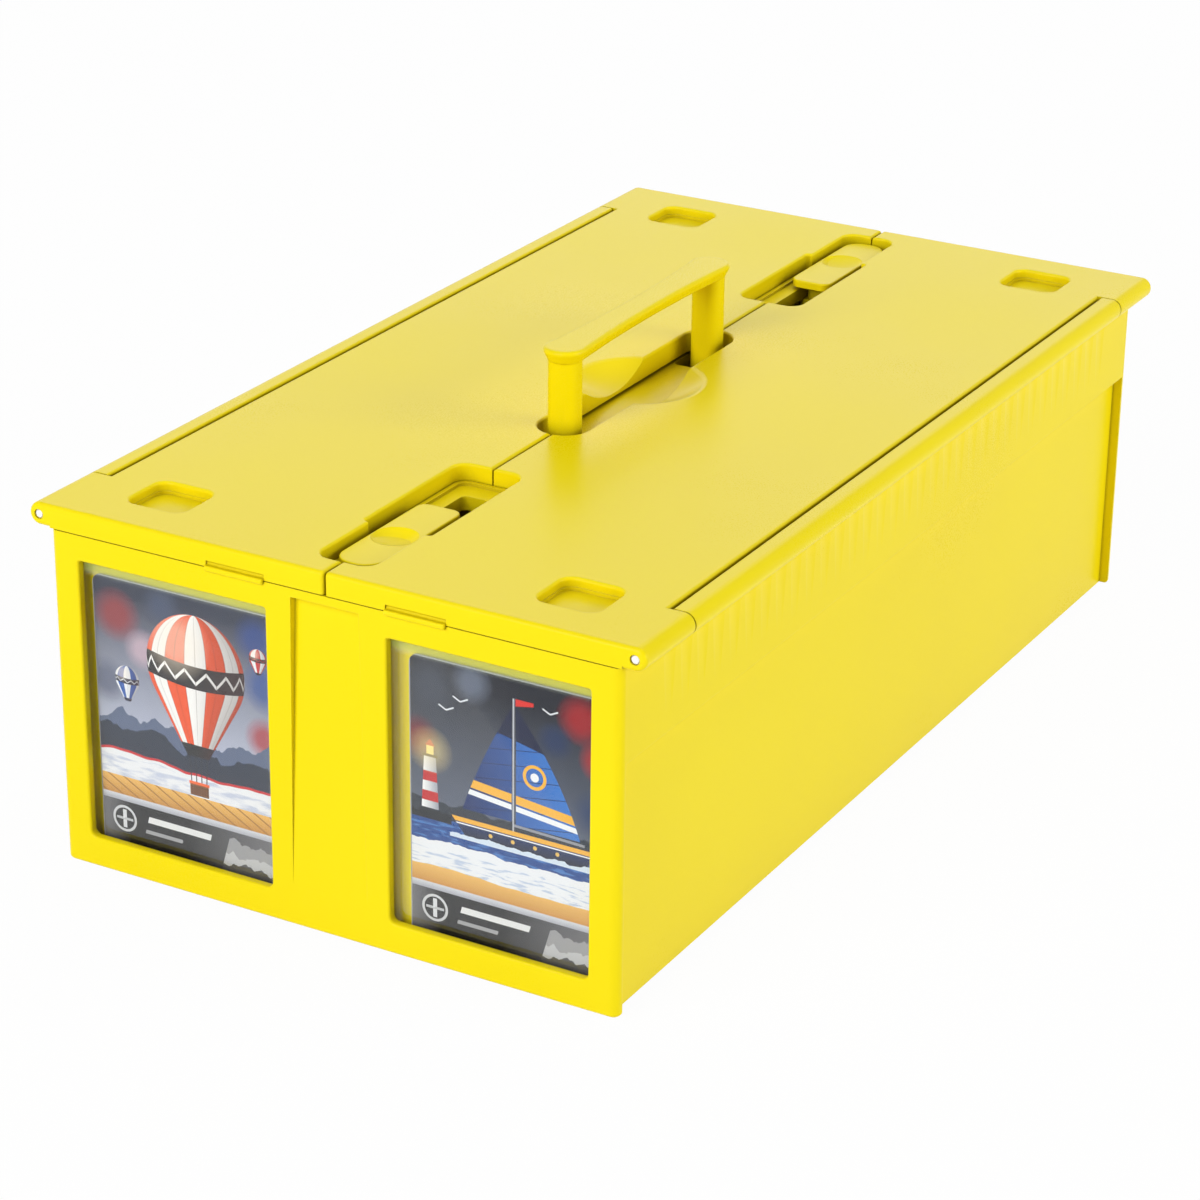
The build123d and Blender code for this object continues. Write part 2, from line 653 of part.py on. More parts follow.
def make_card(middle_x):
    """Display card standing on edge in a front pocket."""
    sight = Plane(origin=(middle_x, -half_length + card_depth, floor_top + card_height / 2),
                  x_dir=(1, 0, 0), z_dir=(0, 1, 0))
    return extrude(sight * RectangleRounded(card_width, card_height, card_corner), card_thickness)


def screw_group(head_z, pointing_up):
    """Four screws, one over each boss of the spine."""
    return [screw(sx * boss_x, sy * boss_y, head_z, pointing_up) for sx in (-1, 1) for sy in (-1, 1)]


def as_solids(shape):
    """Plain list of the solids in a shape or a list of shapes."""
    if isinstance(shape, list):
        return [solid for item in shape for solid in item.solids()]
    return list(shape.solids())


def build():
    """All pieces of the box, by name."""
    rear, left = Plane.XZ, Plane.YZ
    right_lid = make_right_lid()
    pin = make_hinge_pin()
    stop = make_handle_stop()
    slider = make_latch_slider()
    keeper = make_latch_keeper()
    latch_screws = make_latch_screws()
    shift = Pos(0, front_latch_shift, 0)
    pane = make_pane()
    stop_screw = screw(0, post_y, post_bottom - stop_thickness, True)
    return {
        "tub": make_tub(),
        "stacking_feet": corner_mirrors(make_foot()),
        "centre_spine": make_spine(),
        "spine_cap": make_cap(),
        "cap_screws": screw_group(cap_top - screw_head_height, False),
        "spine_screws": screw_group(tub_bottom + screw_head_height, True),
        "right_lid": right_lid,
        "left_lid": mirror(right_lid, left),
        "hinge_pin_rear_right": pin,
        "hinge_pin_front_right": mirror(pin, rear),
        "hinge_pin_rear_left": mirror(pin, left),
        "hinge_pin_front_left": mirror(mirror(pin, rear), left),
        "handle": make_handle(),
        "handle_stop_rear": stop,
        "handle_stop_front": mirror(stop, rear),
        "handle_stop_screws": [stop_screw, mirror(stop_screw, rear)],
        "rear_latch_slider": slider,
        "front_latch_slider": shift * mirror(slider, rear),
        "rear_latch_keeper": keeper,
        "front_latch_keeper": shift * mirror(keeper, rear),
        "rear_latch_screws": latch_screws,
        "front_latch_screws": [shift * mirror(item, rear) for item in latch_screws],
        "window_pane_rear_right": pane,
        "window_pane_rear_left": mirror(pane, left),
        "window_pane_front_right": mirror(pane, rear),
        "window_pane_front_left": mirror(mirror(pane, rear), left),
        "display_card_left": make_card(left_card_x),
        "display_card_right": make_card(right_card_x),
    }


os.makedirs("parts", exist_ok=True)
for name, shape in build().items():
    solids = as_solids(shape)
    piece = solids[0] if len(solids) == 1 else Compound(children=solids)
    export_step(piece, f"parts/{name}.step")
    box = piece.bounding_box()
    print(f"{name}: {len(solids)} solid, {piece.volume / 1000:.2f} cm3, "
          f"{box.size.X:.2f} x {box.size.Y:.2f} x {box.size.Z:.2f} mm")
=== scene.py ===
"""Looks of the two-row card storage box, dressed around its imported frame. All lengths are in metres."""

from __future__ import annotations

import json
import logging
import math
from dataclasses import dataclass
from enum import Enum
from typing import Any, Sequence, Union

import bpy
from mathutils import Matrix, Vector

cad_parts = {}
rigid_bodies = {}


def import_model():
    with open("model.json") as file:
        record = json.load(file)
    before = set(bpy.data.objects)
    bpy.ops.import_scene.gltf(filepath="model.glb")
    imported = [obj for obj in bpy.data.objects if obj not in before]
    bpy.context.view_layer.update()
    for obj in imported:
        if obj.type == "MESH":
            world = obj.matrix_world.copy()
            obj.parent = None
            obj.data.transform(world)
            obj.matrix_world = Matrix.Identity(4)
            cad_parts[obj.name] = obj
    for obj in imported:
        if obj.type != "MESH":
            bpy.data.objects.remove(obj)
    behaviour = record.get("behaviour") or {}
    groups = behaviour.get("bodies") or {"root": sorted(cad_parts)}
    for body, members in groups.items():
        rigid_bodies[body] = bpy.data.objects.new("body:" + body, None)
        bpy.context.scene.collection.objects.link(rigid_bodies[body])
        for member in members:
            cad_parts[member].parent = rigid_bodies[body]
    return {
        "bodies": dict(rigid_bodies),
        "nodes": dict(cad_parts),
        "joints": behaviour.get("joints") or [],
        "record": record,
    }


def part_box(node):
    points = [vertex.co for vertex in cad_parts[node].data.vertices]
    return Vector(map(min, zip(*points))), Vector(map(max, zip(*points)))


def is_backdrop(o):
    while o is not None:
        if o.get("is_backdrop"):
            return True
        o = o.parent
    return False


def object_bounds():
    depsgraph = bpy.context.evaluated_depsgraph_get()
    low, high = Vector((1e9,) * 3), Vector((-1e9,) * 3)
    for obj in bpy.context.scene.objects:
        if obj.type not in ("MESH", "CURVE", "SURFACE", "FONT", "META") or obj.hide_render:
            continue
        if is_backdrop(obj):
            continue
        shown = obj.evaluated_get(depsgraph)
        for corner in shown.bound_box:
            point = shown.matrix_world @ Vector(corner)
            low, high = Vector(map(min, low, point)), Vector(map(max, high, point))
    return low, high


LOG = logging.getLogger("card_box")
MM = 0.001
# Millimetres from a card's middle that lie past all its edges
PAST_EDGE = 60.0
Socket = bpy.types.NodeSocket
Value = Union[float, Sequence[float], Socket]
Colour = tuple[float, float, float]


def ink(red: int, green: int, blue: int) -> tuple[float, float, float, float]:
    """Turn a printer's 0 to 255 colour into the linear colour that a shader takes.

    Args:
        red: Share of red.
        green: Share of green.
        blue: Share of blue.

    Returns:
        Linear red, green, blue and a full alpha.
    """
    linear = []
    for level in (red, green, blue):
        share = level / 255
        linear.append(share / 12.92 if share <= 0.04045 else ((share + 0.055) / 1.055) ** 2.4)
    return (linear[0], linear[1], linear[2], 1.0)


class NodeSketch:
    """Adds and wires the nodes of one material or world."""

    def __init__(self, tree: bpy.types.NodeTree) -> None:
        """Take over a node tree and empty it.

        Args:
            tree: The tree to draw in.
        """
        self.tree = tree
        tree.nodes.clear()

    @classmethod
    def for_material(cls, name: str) -> tuple[bpy.types.Material, "NodeSketch"]:
        """Make a new material with an empty sketch.

        Args:
            name: Name of the material.

        Returns:
            The material and its sketch.
        """
        material = bpy.data.materials.new(name)
        material.use_nodes = True
        return material, cls(material.node_tree)

    def plug(self, socket: Socket, value: Value) -> None:
        """Link a socket, or set its constant.

        Args:
            socket: The input to fill.
            value: Another node's output, or the constant itself.
        """
        if isinstance(value, bpy.types.NodeSocket):
            self.tree.links.new(value, socket)
        else:
            socket.default_value = value

    def add(self, kind: str, inputs: dict[Any, Value], **settings: Any) -> bpy.types.Node:
        """Add a node.

        Args:
            kind: Type of the node, without its ShaderNode prefix.
            inputs: What each input takes, by the input's name or number.
            settings: Attributes of the node itself.

        Returns:
            The new node.
        """
        node = self.tree.nodes.new("ShaderNode" + kind)
        for name, setting in settings.items():
            setattr(node, name, setting)
        for key, value in inputs.items():
            self.plug(node.inputs[key], value)
        return node

    def maths(self, operation: str, first: Value, second: Value = 0.0, third: Value = 0.0) -> Socket:
        """Add a Math node.

        Args:
            operation: What it works out, in Blender's own word.
            first: Its first value.
            second: Its second value.
            third: Its third value.

        Returns:
            The result.
        """
        return self.add("Math", {0: first, 1: second, 2: third}, operation=operation).outputs[0]

    def blend(self, share: Value, base: Value, top: Value) -> Socket:
        """Mix two colours.

        Args:
            share: How much of the top colour shows.
            base: Colour where the share is 0.
            top: Colour where the share is 1.

        Returns:
            The mixed colour.
        """
        node = self.add("Mix", {}, data_type="RGBA")
        self.plug(node.inputs["Factor"], share)
        self.plug(node.inputs[6], base)
        self.plug(node.inputs[7], top)
        return node.outputs[2]

    def ramp(self, value: Value, low: float, high: float, start: float, end: float) -> Socket:
        """Map a value from one range to another, without going past its ends.

        Args:
            value: The value to map.
            low: Value that gives start.
            high: Value that gives end.
            start: Result at low.
            end: Result at high.

        Returns:
            The mapped value.
        """
        inputs = {"Value": value, "From Min": low, "From Max": high, "To Min": start, "To Max": end}
        return self.add("MapRange", inputs, clamp=True).outputs[0]

    def place(self) -> Socket:
        """Coordinates in the frame, which ride with the piece."""
        return self.add("TexCoord", {}).outputs["Object"]

    def noise(self, place: Socket, scale: float, detail: float = 2.0, roughness: float = 0.5) -> Socket:
        """Add a noise.

        Args:
            place: Coordinates that it is read at.
            scale: Waves per metre.
            detail: Number of finer layers.
            roughness: Strength of the finer layers.

        Returns:
            The noise, from 0 to 1.
        """
        inputs = {"Vector": place, "Scale": scale, "Detail": detail, "Roughness": roughness}
        return self.add("TexNoise", inputs).outputs[0]

    def bump(self, height: Socket, depth: float, under: Socket | None = None) -> Socket:
        """Turn a height into a normal.

        Args:
            height: Height from 0 to 1.
            depth: Real depth of the relief.
            under: Normal that the relief lies on.

        Returns:
            The bumped normal.
        """
        inputs: dict[Any, Value] = {"Height": height, "Distance": depth, "Strength": 1.0}
        if under is not None:
            inputs["Normal"] = under
        return self.add("Bump", inputs).outputs[0]

    def finish(self, shader: Socket) -> None:
        """Send a shader to the output.

        Args:
            shader: The surface's shader.
        """
        output = self.tree.nodes.new("ShaderNodeOutputMaterial")
        self.tree.links.new(shader, output.inputs["Surface"])


@dataclass(frozen=True)
class MouldedPlastic:
    """Yellow injection-moulded plastic with a fine spark-eroded grain and soft, faintly rubbed edges.

    Hollows that see little of the sky are painted a deeper colour as painted shade. In the narrowest gaps
    that painted shade eases a little, a painted glow that stands in for light coming through the plastic
    beside them.
    """

    name: str = "yellow_moulded_plastic"
    painted_shade_reach: float = 8 * MM
    painted_gap_glow: float = 0.65
    colour: Colour = (0.905, 0.740, 0.005)
    worn_colour: Colour = (0.925, 0.775, 0.022)
    deep_colour: Colour = (0.885, 0.715, 0.003)
    painted_shade_colour: Colour = (0.330, 0.250, 0.004)
    roughness: float = 0.30
    roughness_spread: float = 0.05
    specular_level: float = 0.11
    grain_pitch: float = 0.45 * MM
    grain_depth: float = 0.012 * MM
    flow_pitch: float = 90 * MM
    edge_radius: float = 0.32 * MM
    wear_radius: float = 0.7 * MM
    wear_share: float = 0.5
    painted_shade_sky: tuple[float, float] = (0.15, 0.72)
    painted_glow_sky: tuple[float, float] = (0.03, 0.24)

    def material(self) -> bpy.types.Material:
        """Build the plastic.

        Returns:
            The material.
        """
        material, sketch = NodeSketch.for_material(self.name)
        place = sketch.place()
        grain = sketch.noise(place, 1 / self.grain_pitch, 3.0, 0.6)
        flow = sketch.noise(place, 1 / self.flow_pitch, 2.0, 0.45)
        soft = sketch.add("Bevel", {"Radius": self.edge_radius}, samples=6).outputs[0]
        wide = sketch.add("Bevel", {"Radius": self.wear_radius}, samples=4).outputs[0]
        flat = sketch.add("NewGeometry", {}).outputs["Normal"]
        facing = sketch.add("VectorMath", {0: wide, 1: flat}, operation="DOT_PRODUCT").outputs["Value"]
        rubbed = sketch.ramp(facing, 0.985, 0.80, 0.0, self.wear_share)
        rubbed = sketch.maths("MULTIPLY", rubbed, sketch.ramp(grain, 0.35, 0.75, 0.4, 1.0))
        tone = sketch.blend(sketch.ramp(flow, 0.35, 0.7, 0.0, 1.0), (*self.deep_colour, 1), (*self.colour, 1))
        tone = sketch.blend(rubbed, tone, (*self.worn_colour, 1))
        # Painted shade: ambient occlusion darkens the colour in hollows, and eases off in the narrowest gaps
        # as a painted glow.
        sky = sketch.add("AmbientOcclusion", {"Distance": self.painted_shade_reach}, samples=8).outputs["AO"]
        painted_shade_share = sketch.maths("MULTIPLY", sketch.ramp(sky, *self.painted_shade_sky, 1.0, 0.0),
                               sketch.ramp(sky, *self.painted_glow_sky, 1.0 - self.painted_gap_glow, 1.0))
        tone = sketch.blend(painted_shade_share, tone, (*self.painted_shade_colour, 1))
        low, high = self.roughness - self.roughness_spread, self.roughness + self.roughness_spread
        mottled = sketch.maths("MULTIPLY_ADD", grain, 0.4, sketch.maths("MULTIPLY", flow, 0.6))
        shader = sketch.add("BsdfPrincipled", {
            "Base Color": tone,
            "Roughness": sketch.ramp(mottled, 0.3, 0.7, low, high),
            "Specular IOR Level": self.specular_level,
            "Normal": sketch.bump(grain, self.grain_depth, soft),
        })
        sketch.finish(shader.outputs[0])
        return material


@dataclass(frozen=True)
class DrawnSteel:
    """Bright drawn steel of the hinge pins, with fine rings turned into the ends. Waves are per metre."""

    colour: Colour = (0.96, 0.95, 0.93)
    dull_colour: Colour = (0.88, 0.87, 0.88)
    metallic: float = 0.35
    roughness: float = 0.28
    ring_pitch: float = 0.12 * MM
    cloud_waves: float = 900.0
    relief: float = 0.006 * MM

    def material(self) -> bpy.types.Material:
        """Build the pin steel.

        Returns:
            The material.
        """
        material, sketch = NodeSketch.for_material("drawn_pin_steel")
        place = sketch.place()
        streak_place = sketch.add("VectorMath", {0: place, 1: (1, 0.02, 1)}, operation="MULTIPLY").outputs[0]
        streaks = sketch.noise(streak_place, 1 / self.ring_pitch, 3.0, 0.7)
        dull = sketch.noise(place, self.cloud_waves)
        shader = sketch.add("BsdfPrincipled", {
            "Base Color": sketch.blend(dull, (*self.colour, 1), (*self.dull_colour, 1)),
            "Metallic": self.metallic,
            "Roughness": sketch.ramp(streaks, 0.3, 0.7, self.roughness - 0.06, self.roughness + 0.10),
            "Normal": sketch.bump(streaks, self.relief),
        })
        sketch.finish(shader.outputs[0])
        return material


@dataclass(frozen=True)
class ZincPlating:
    """Zinc plating of the screws, a little blue and clouded."""

    colour: Colour = (0.60, 0.61, 0.64)
    cloud_colour: Colour = (0.48, 0.50, 0.50)
    cloud_pitch: float = 1.4 * MM
    roughness: tuple[float, float] = (0.26, 0.46)
    relief: float = 0.01 * MM

    def material(self) -> bpy.types.Material:
        """Build the plating.

        Returns:
            The material.
        """
        material, sketch = NodeSketch.for_material("zinc_plating")
        place = sketch.place()
        cloud = sketch.noise(place, 1 / self.cloud_pitch, 3.0, 0.6)
        shader = sketch.add("BsdfPrincipled", {
            "Base Color": sketch.blend(cloud, (*self.colour, 1), (*self.cloud_colour, 1)),
            "Metallic": 1.0,
            "Roughness": sketch.ramp(cloud, 0.3, 0.7, *self.roughness),
            "Normal": sketch.bump(cloud, self.relief),
        })
        sketch.finish(shader.outputs[0])
        return material


@dataclass(frozen=True)
class HazySheet:
    """Clear polystyrene sheet of the window panes, with light haze, hairline scratches and green borders.

    The borders are shares of a pane: the sides from its middle outwards, and the top from its foot upwards.
    Waves are counted per metre.
    """

    haze: float = 0.002
    mirror: float = 0.08
    haze_colour: Colour = (0.86, 0.88, 0.92)
    cloud_waves: float = 55.0
    scratch_haze: float = 0.008
    scratch_waves: float = 2600.0
    border_haze: float = 0.16
    border_colour: Colour = (0.66, 0.86, 0.34)
    side_border: tuple[float, float] = (0.430, 0.448)
    side_share: float = 0.3
    top_border: tuple[float, float] = (0.886, 0.906)
    tint: Colour = (0.985, 0.992, 0.985)
    roughness: float = 0.07
    refraction: float = 1.57

    def material(self) -> bpy.types.Material:
        """Build the pane sheet.

        Returns:
            The material.
        """
        material, sketch = NodeSketch.for_material("hazy_clear_sheet")
        place = sketch.place()
        stretched = sketch.add("VectorMath", {0: place, 1: (1, 1, 0.03)}, operation="MULTIPLY").outputs[0]
        scratch = sketch.noise(stretched, self.scratch_waves, 2.0, 0.7)
        scratch = sketch.ramp(scratch, 0.66, 0.72, 0.0, self.scratch_haze)
        cloud = sketch.noise(place, self.cloud_waves, 3.0)
        cloud = sketch.ramp(cloud, 0.3, 0.7, 0.75 * self.haze, 1.25 * self.haze)
        clear = sketch.add("BsdfTransparent", {"Color": (*self.tint, 1)}).outputs[0]
        gloss = sketch.add("BsdfGlossy", {"Color": (1, 1, 1, 1), "Roughness": self.roughness}).outputs[0]
        across = sketch.add("SeparateXYZ", {0: sketch.add("TexCoord", {}).outputs["Generated"]}).outputs
        aside = sketch.maths("ABSOLUTE", sketch.maths("SUBTRACT", across[0], 0.5))
        border = sketch.maths("MAXIMUM", sketch.ramp(aside, *self.side_border, 0.0, self.side_share),
                              sketch.ramp(across[2], *self.top_border, 0.0, 1.0))
        milk_colour = sketch.blend(border, (*self.haze_colour, 1), (*self.border_colour, 1))
        milk = sketch.add("BsdfDiffuse", {"Color": milk_colour}).outputs[0]
        mirror = sketch.add("Fresnel", {"IOR": self.refraction}).outputs[0]
        share = sketch.maths("MULTIPLY", mirror, self.mirror)
        sheet = sketch.add("MixShader", {0: share, 1: clear, 2: gloss}).outputs[0]
        share = sketch.maths("MULTIPLY_ADD", border, self.border_haze, sketch.maths("ADD", cloud, scratch))
        milky = sketch.add("MixShader", {0: share, 1: sheet, 2: milk}).outputs[0]
        sketch.finish(milky)
        return material


class Motif(Enum):
    """The generic pictures that the two display cards carry."""

    BALLOON = "balloon"
    SAILBOAT = "sailboat"


class CardArtist:
    """Paints flat shapes on a card, in millimetres from its middle: u to the right and v up.

    A mask is 1 where a colour goes and 0 elsewhere. What is painted later lies on top.
    """

    def __init__(self, sketch: NodeSketch, middle: Vector, paper: Value) -> None:
        """Set out the card's own coordinates.

        Args:
            sketch: Sketch of the card's material.
            middle: Middle of the card in the frame.
            paper: Colour of the bare card.
        """
        self.sketch = sketch
        self.colour = paper
        offset = tuple(-value for value in middle)
        moved = sketch.add("VectorMath", {0: sketch.place(), 1: offset}, operation="ADD").outputs[0]
        scaled = sketch.add("VectorMath", {0: moved, 3: 1 / MM}, operation="SCALE").outputs[0]
        axes = sketch.add("SeparateXYZ", {0: scaled}).outputs
        self.u, self.v = axes[0], axes[2]
        self.flat = sketch.add("CombineXYZ", {0: self.u, 1: self.v}).outputs[0]

    def profile(self, size: float, reach: float, seed: float, detail: float = 3.0) -> Socket:
        """Height of a skyline along the card.

        Args:
            size: Length of its waves.
            reach: Height of its waves.
            seed: Number that tells one skyline from another.
            detail: Number of finer layers.

        Returns:
            The height at each place.
        """
        line = self.sketch.add("CombineXYZ", {0: self.u, 1: seed}).outputs[0]
        return self.sketch.ramp(self.sketch.noise(line, 1 / size, detail, 0.55), 0.25, 0.75, -reach, reach)

    def below(self, level: float, profile: Socket) -> Socket:
        """Mask of what lies under a skyline.

        Args:
            level: Middle height of the skyline.
            profile: Its shape.

        Returns:
            The mask.
        """
        return self.sketch.maths("LESS_THAN", self.sketch.maths("SUBTRACT", self.v, profile), level)

    def lean(self, weight_u: float, weight_v: float, offset: float = 0.0) -> Socket:
        """Coordinate along a slanting direction.

        Args:
            weight_u: Weight of u.
            weight_v: Weight of v.
            offset: Number added to it.

        Returns:
            The coordinate.
        """
        weights = (weight_u, weight_v, 0)
        slanted = self.sketch.add("VectorMath", {0: self.flat, 1: weights}, operation="DOT_PRODUCT")
        return self.sketch.maths("ADD", slanted.outputs["Value"], offset)

    def stroke(self, start: tuple[float, float], end: tuple[float, float], width: float) -> Socket:
        """Mask of a straight stroke.

        Args:
            start: Where it starts.
            end: Where it ends.
            width: Its width.

        Returns:
            The mask.
        """
        run_u, run_v = end[0] - start[0], end[1] - start[1]
        length = math.hypot(run_u, run_v)
        du, dv = run_u / length, run_v / length
        along, across = start[0] * du + start[1] * dv, start[1] * du - start[0] * dv
        return self.both(self.band(along, along + length, self.lean(du, dv)),
                         self.band(across - width / 2, across + width / 2, self.lean(-dv, du)))

    def stripes(self, along: Socket, pitch: float, width: float) -> Socket:
        """Mask of evenly repeated lines.

        Args:
            along: Coordinate across the lines.
            pitch: Distance from line to line.
            width: Width of a line.

        Returns:
            The mask.
        """
        return self.sketch.maths("LESS_THAN", self.sketch.maths("PINGPONG", along, pitch / 2), width / 2)

    def glow(self, u: float, v: float, radius: float) -> Socket:
        """Soft mask that fades out from a point.

        Args:
            u: Place of the point.
            v: Height of the point.
            radius: Where it has faded out.

        Returns:
            The mask.
        """
        spot = {0: self.flat, 1: (u, v, 0)}
        reach = self.sketch.add("VectorMath", spot, operation="DISTANCE").outputs["Value"]
        return self.sketch.ramp(reach, 0.35 * radius, radius, 1.0, 0.0)

    def band(self, low: float, high: float, along: Socket | None = None) -> Socket:
        """Mask of a straight band.

        Args:
            low: Where the band starts.
            high: Where it ends.
            along: Coordinate that it is measured along; v if left out.

        Returns:
            The mask.
        """
        return self.sketch.maths("COMPARE", along or self.v, (low + high) / 2, (high - low) / 2)

    def box(self, left: float, right: float, low: float, high: float) -> Socket:
        """Mask of an upright rectangle.

        Args:
            left: Its left side.
            right: Its right side.
            low: Its lower side.
            high: Its upper side.

        Returns:
            The mask.
        """
        return self.both(self.band(left, right, self.u), self.band(low, high))

    def disc(self, u: float, v: float, radius: float) -> Socket:
        """Mask of a disc.

        Args:
            u: Place of its middle.
            v: Height of its middle.
            radius: Its radius.

        Returns:
            The mask.
        """
        reach = self.sketch.add("VectorMath", {0: self.flat, 1: (u, v, 0)}, operation="DISTANCE")
        return self.sketch.maths("LESS_THAN", reach.outputs["Value"], radius)

    def beyond(self, weight_u: float, weight_v: float, limit: Value) -> Socket:
        """Mask of the side of a line where weight_u u + weight_v v is over the limit.

        Args:
            weight_u: Weight of u.
            weight_v: Weight of v.
            limit: The limit.

        Returns:
            The mask.
        """
        return self.sketch.maths("GREATER_THAN", self.lean(weight_u, weight_v), limit)

    def both(self, *masks: Socket) -> Socket:
        """Mask of the places that all masks share.

        Args:
            masks: The masks.

        Returns:
            Their common part.
        """
        shared = masks[0]
        for mask in masks[1:]:
            shared = self.sketch.maths("MULTIPLY", shared, mask)
        return shared

    def paint(self, mask: Value, colour: Value) -> None:
        """Lay a colour over what is painted so far.

        Args:
            mask: Where it goes, from 0 to 1.
            colour: The colour.
        """
        self.colour = self.sketch.blend(mask, self.colour, colour)

    def between(self, mask: Socket, low: Value, high: Value, start: float, end: float,
                along: Socket | None = None) -> None:
        """Paint a band that fades from one colour to another.

        Args:
            mask: Where it goes.
            low: Colour at start.
            high: Colour at end.
            start: Coordinate of the first colour.
            end: Coordinate of the second colour.
            along: Coordinate that the fade runs along; v if left out.
        """
        fade = self.sketch.ramp(along or self.v, start, end, 0.0, 1.0)
        self.paint(mask, self.sketch.blend(fade, low, high))


@dataclass(frozen=True)
class TitleBand:
    """Dark band at the foot of a card, with a badge, two plain bars and a grey vignette. In millimetres."""

    half_width: float
    low: float
    high: float
    sill: float = 7.1
    badge_u: float = -24.0
    badge_radii: tuple[float, float] = (4.2, 3.4)
    cross_reach: float = 2.9
    bar_start: float = -16.0
    bar_lengths: tuple[float, float] = (22.0, 13.0)
    bar_pitch: float = 3.6
    bar_height: float = 2.0
    slant: float = 0.28
    vignette_start: float = 12.0

    def middle(self) -> float:
        """Middle height of what shows above the window's sill.

        Returns:
            The height.
        """
        return (self.low + self.sill + self.high) / 2

    def paint(self, artist: CardArtist) -> None:
        """Paint the band.

        Args:
            artist: Painter of the card.
        """
        strip = artist.band(self.low, self.high)
        dark, grey = ink(24, 23, 28), ink(118, 117, 124)
        fade_left, fade_right = -22.0, -2.0
        artist.between(strip, dark, grey, fade_right, self.half_width, artist.u)
        artist.between(artist.both(strip, artist.band(-self.half_width, fade_left, artist.u)),
                       grey, dark, -self.half_width, fade_left, artist.u)
        self.badge(artist)
        self.bars(artist)
        self.vignette(artist, strip)

    def badge(self, artist: CardArtist) -> None:
        """Paint a ringed cross.

        Args:
            artist: Painter of the card.
        """
        centre = (self.badge_u, self.middle())
        for radius, tone in zip(self.badge_radii, (ink(208, 209, 216), ink(34, 33, 38))):
            artist.paint(artist.disc(*centre, radius), tone)
        for side in (-1.0, 1.0):
            upright = (centre[0], centre[1] + side * self.cross_reach)
            level = (centre[0] + side * self.cross_reach, centre[1])
            artist.paint(artist.stroke(upright, centre, 1.3), ink(222, 223, 230))
            artist.paint(artist.stroke(level, centre, 0.8), ink(190, 191, 198))

    def bars(self, artist: CardArtist) -> None:
        """Paint the two slanted bars.

        Args:
            artist: Painter of the card.
        """
        shift = self.slant * self.middle() - self.bar_start
        tones = (ink(232, 232, 236), ink(168, 168, 174))
        for number, (length, tone) in enumerate(zip(self.bar_lengths, tones)):
            line = self.middle() + 0.7 - self.bar_pitch * number
            height = self.bar_height - 0.8 * number
            artist.paint(artist.both(artist.band(line, line + height),
                                     artist.band(0.0, length, artist.lean(1.0, -self.slant, shift))), tone)

    def vignette(self, artist: CardArtist, strip: Socket) -> None:
        """Paint three uneven grey layers at the band's right end.

        Args:
            artist: Painter of the card.
            strip: Mask of the band.
        """
        middle = self.middle()
        limit = self.vignette_start - self.slant * middle
        corner = artist.both(strip, artist.beyond(1.0, -self.slant, limit))
        for level, reach, size, seed, tone in ((2.6, 3.4, 9.0, 3.0, ink(158, 157, 163)),
                                               (-1.8, 2.4, 6.0, 11.0, ink(196, 196, 202)),
                                               (-4.6, 1.6, 5.0, 17.0, ink(88, 87, 93))):
            layer = artist.below(middle + level, artist.profile(size, reach, seed, 4.0))
            artist.paint(artist.both(corner, layer), tone)


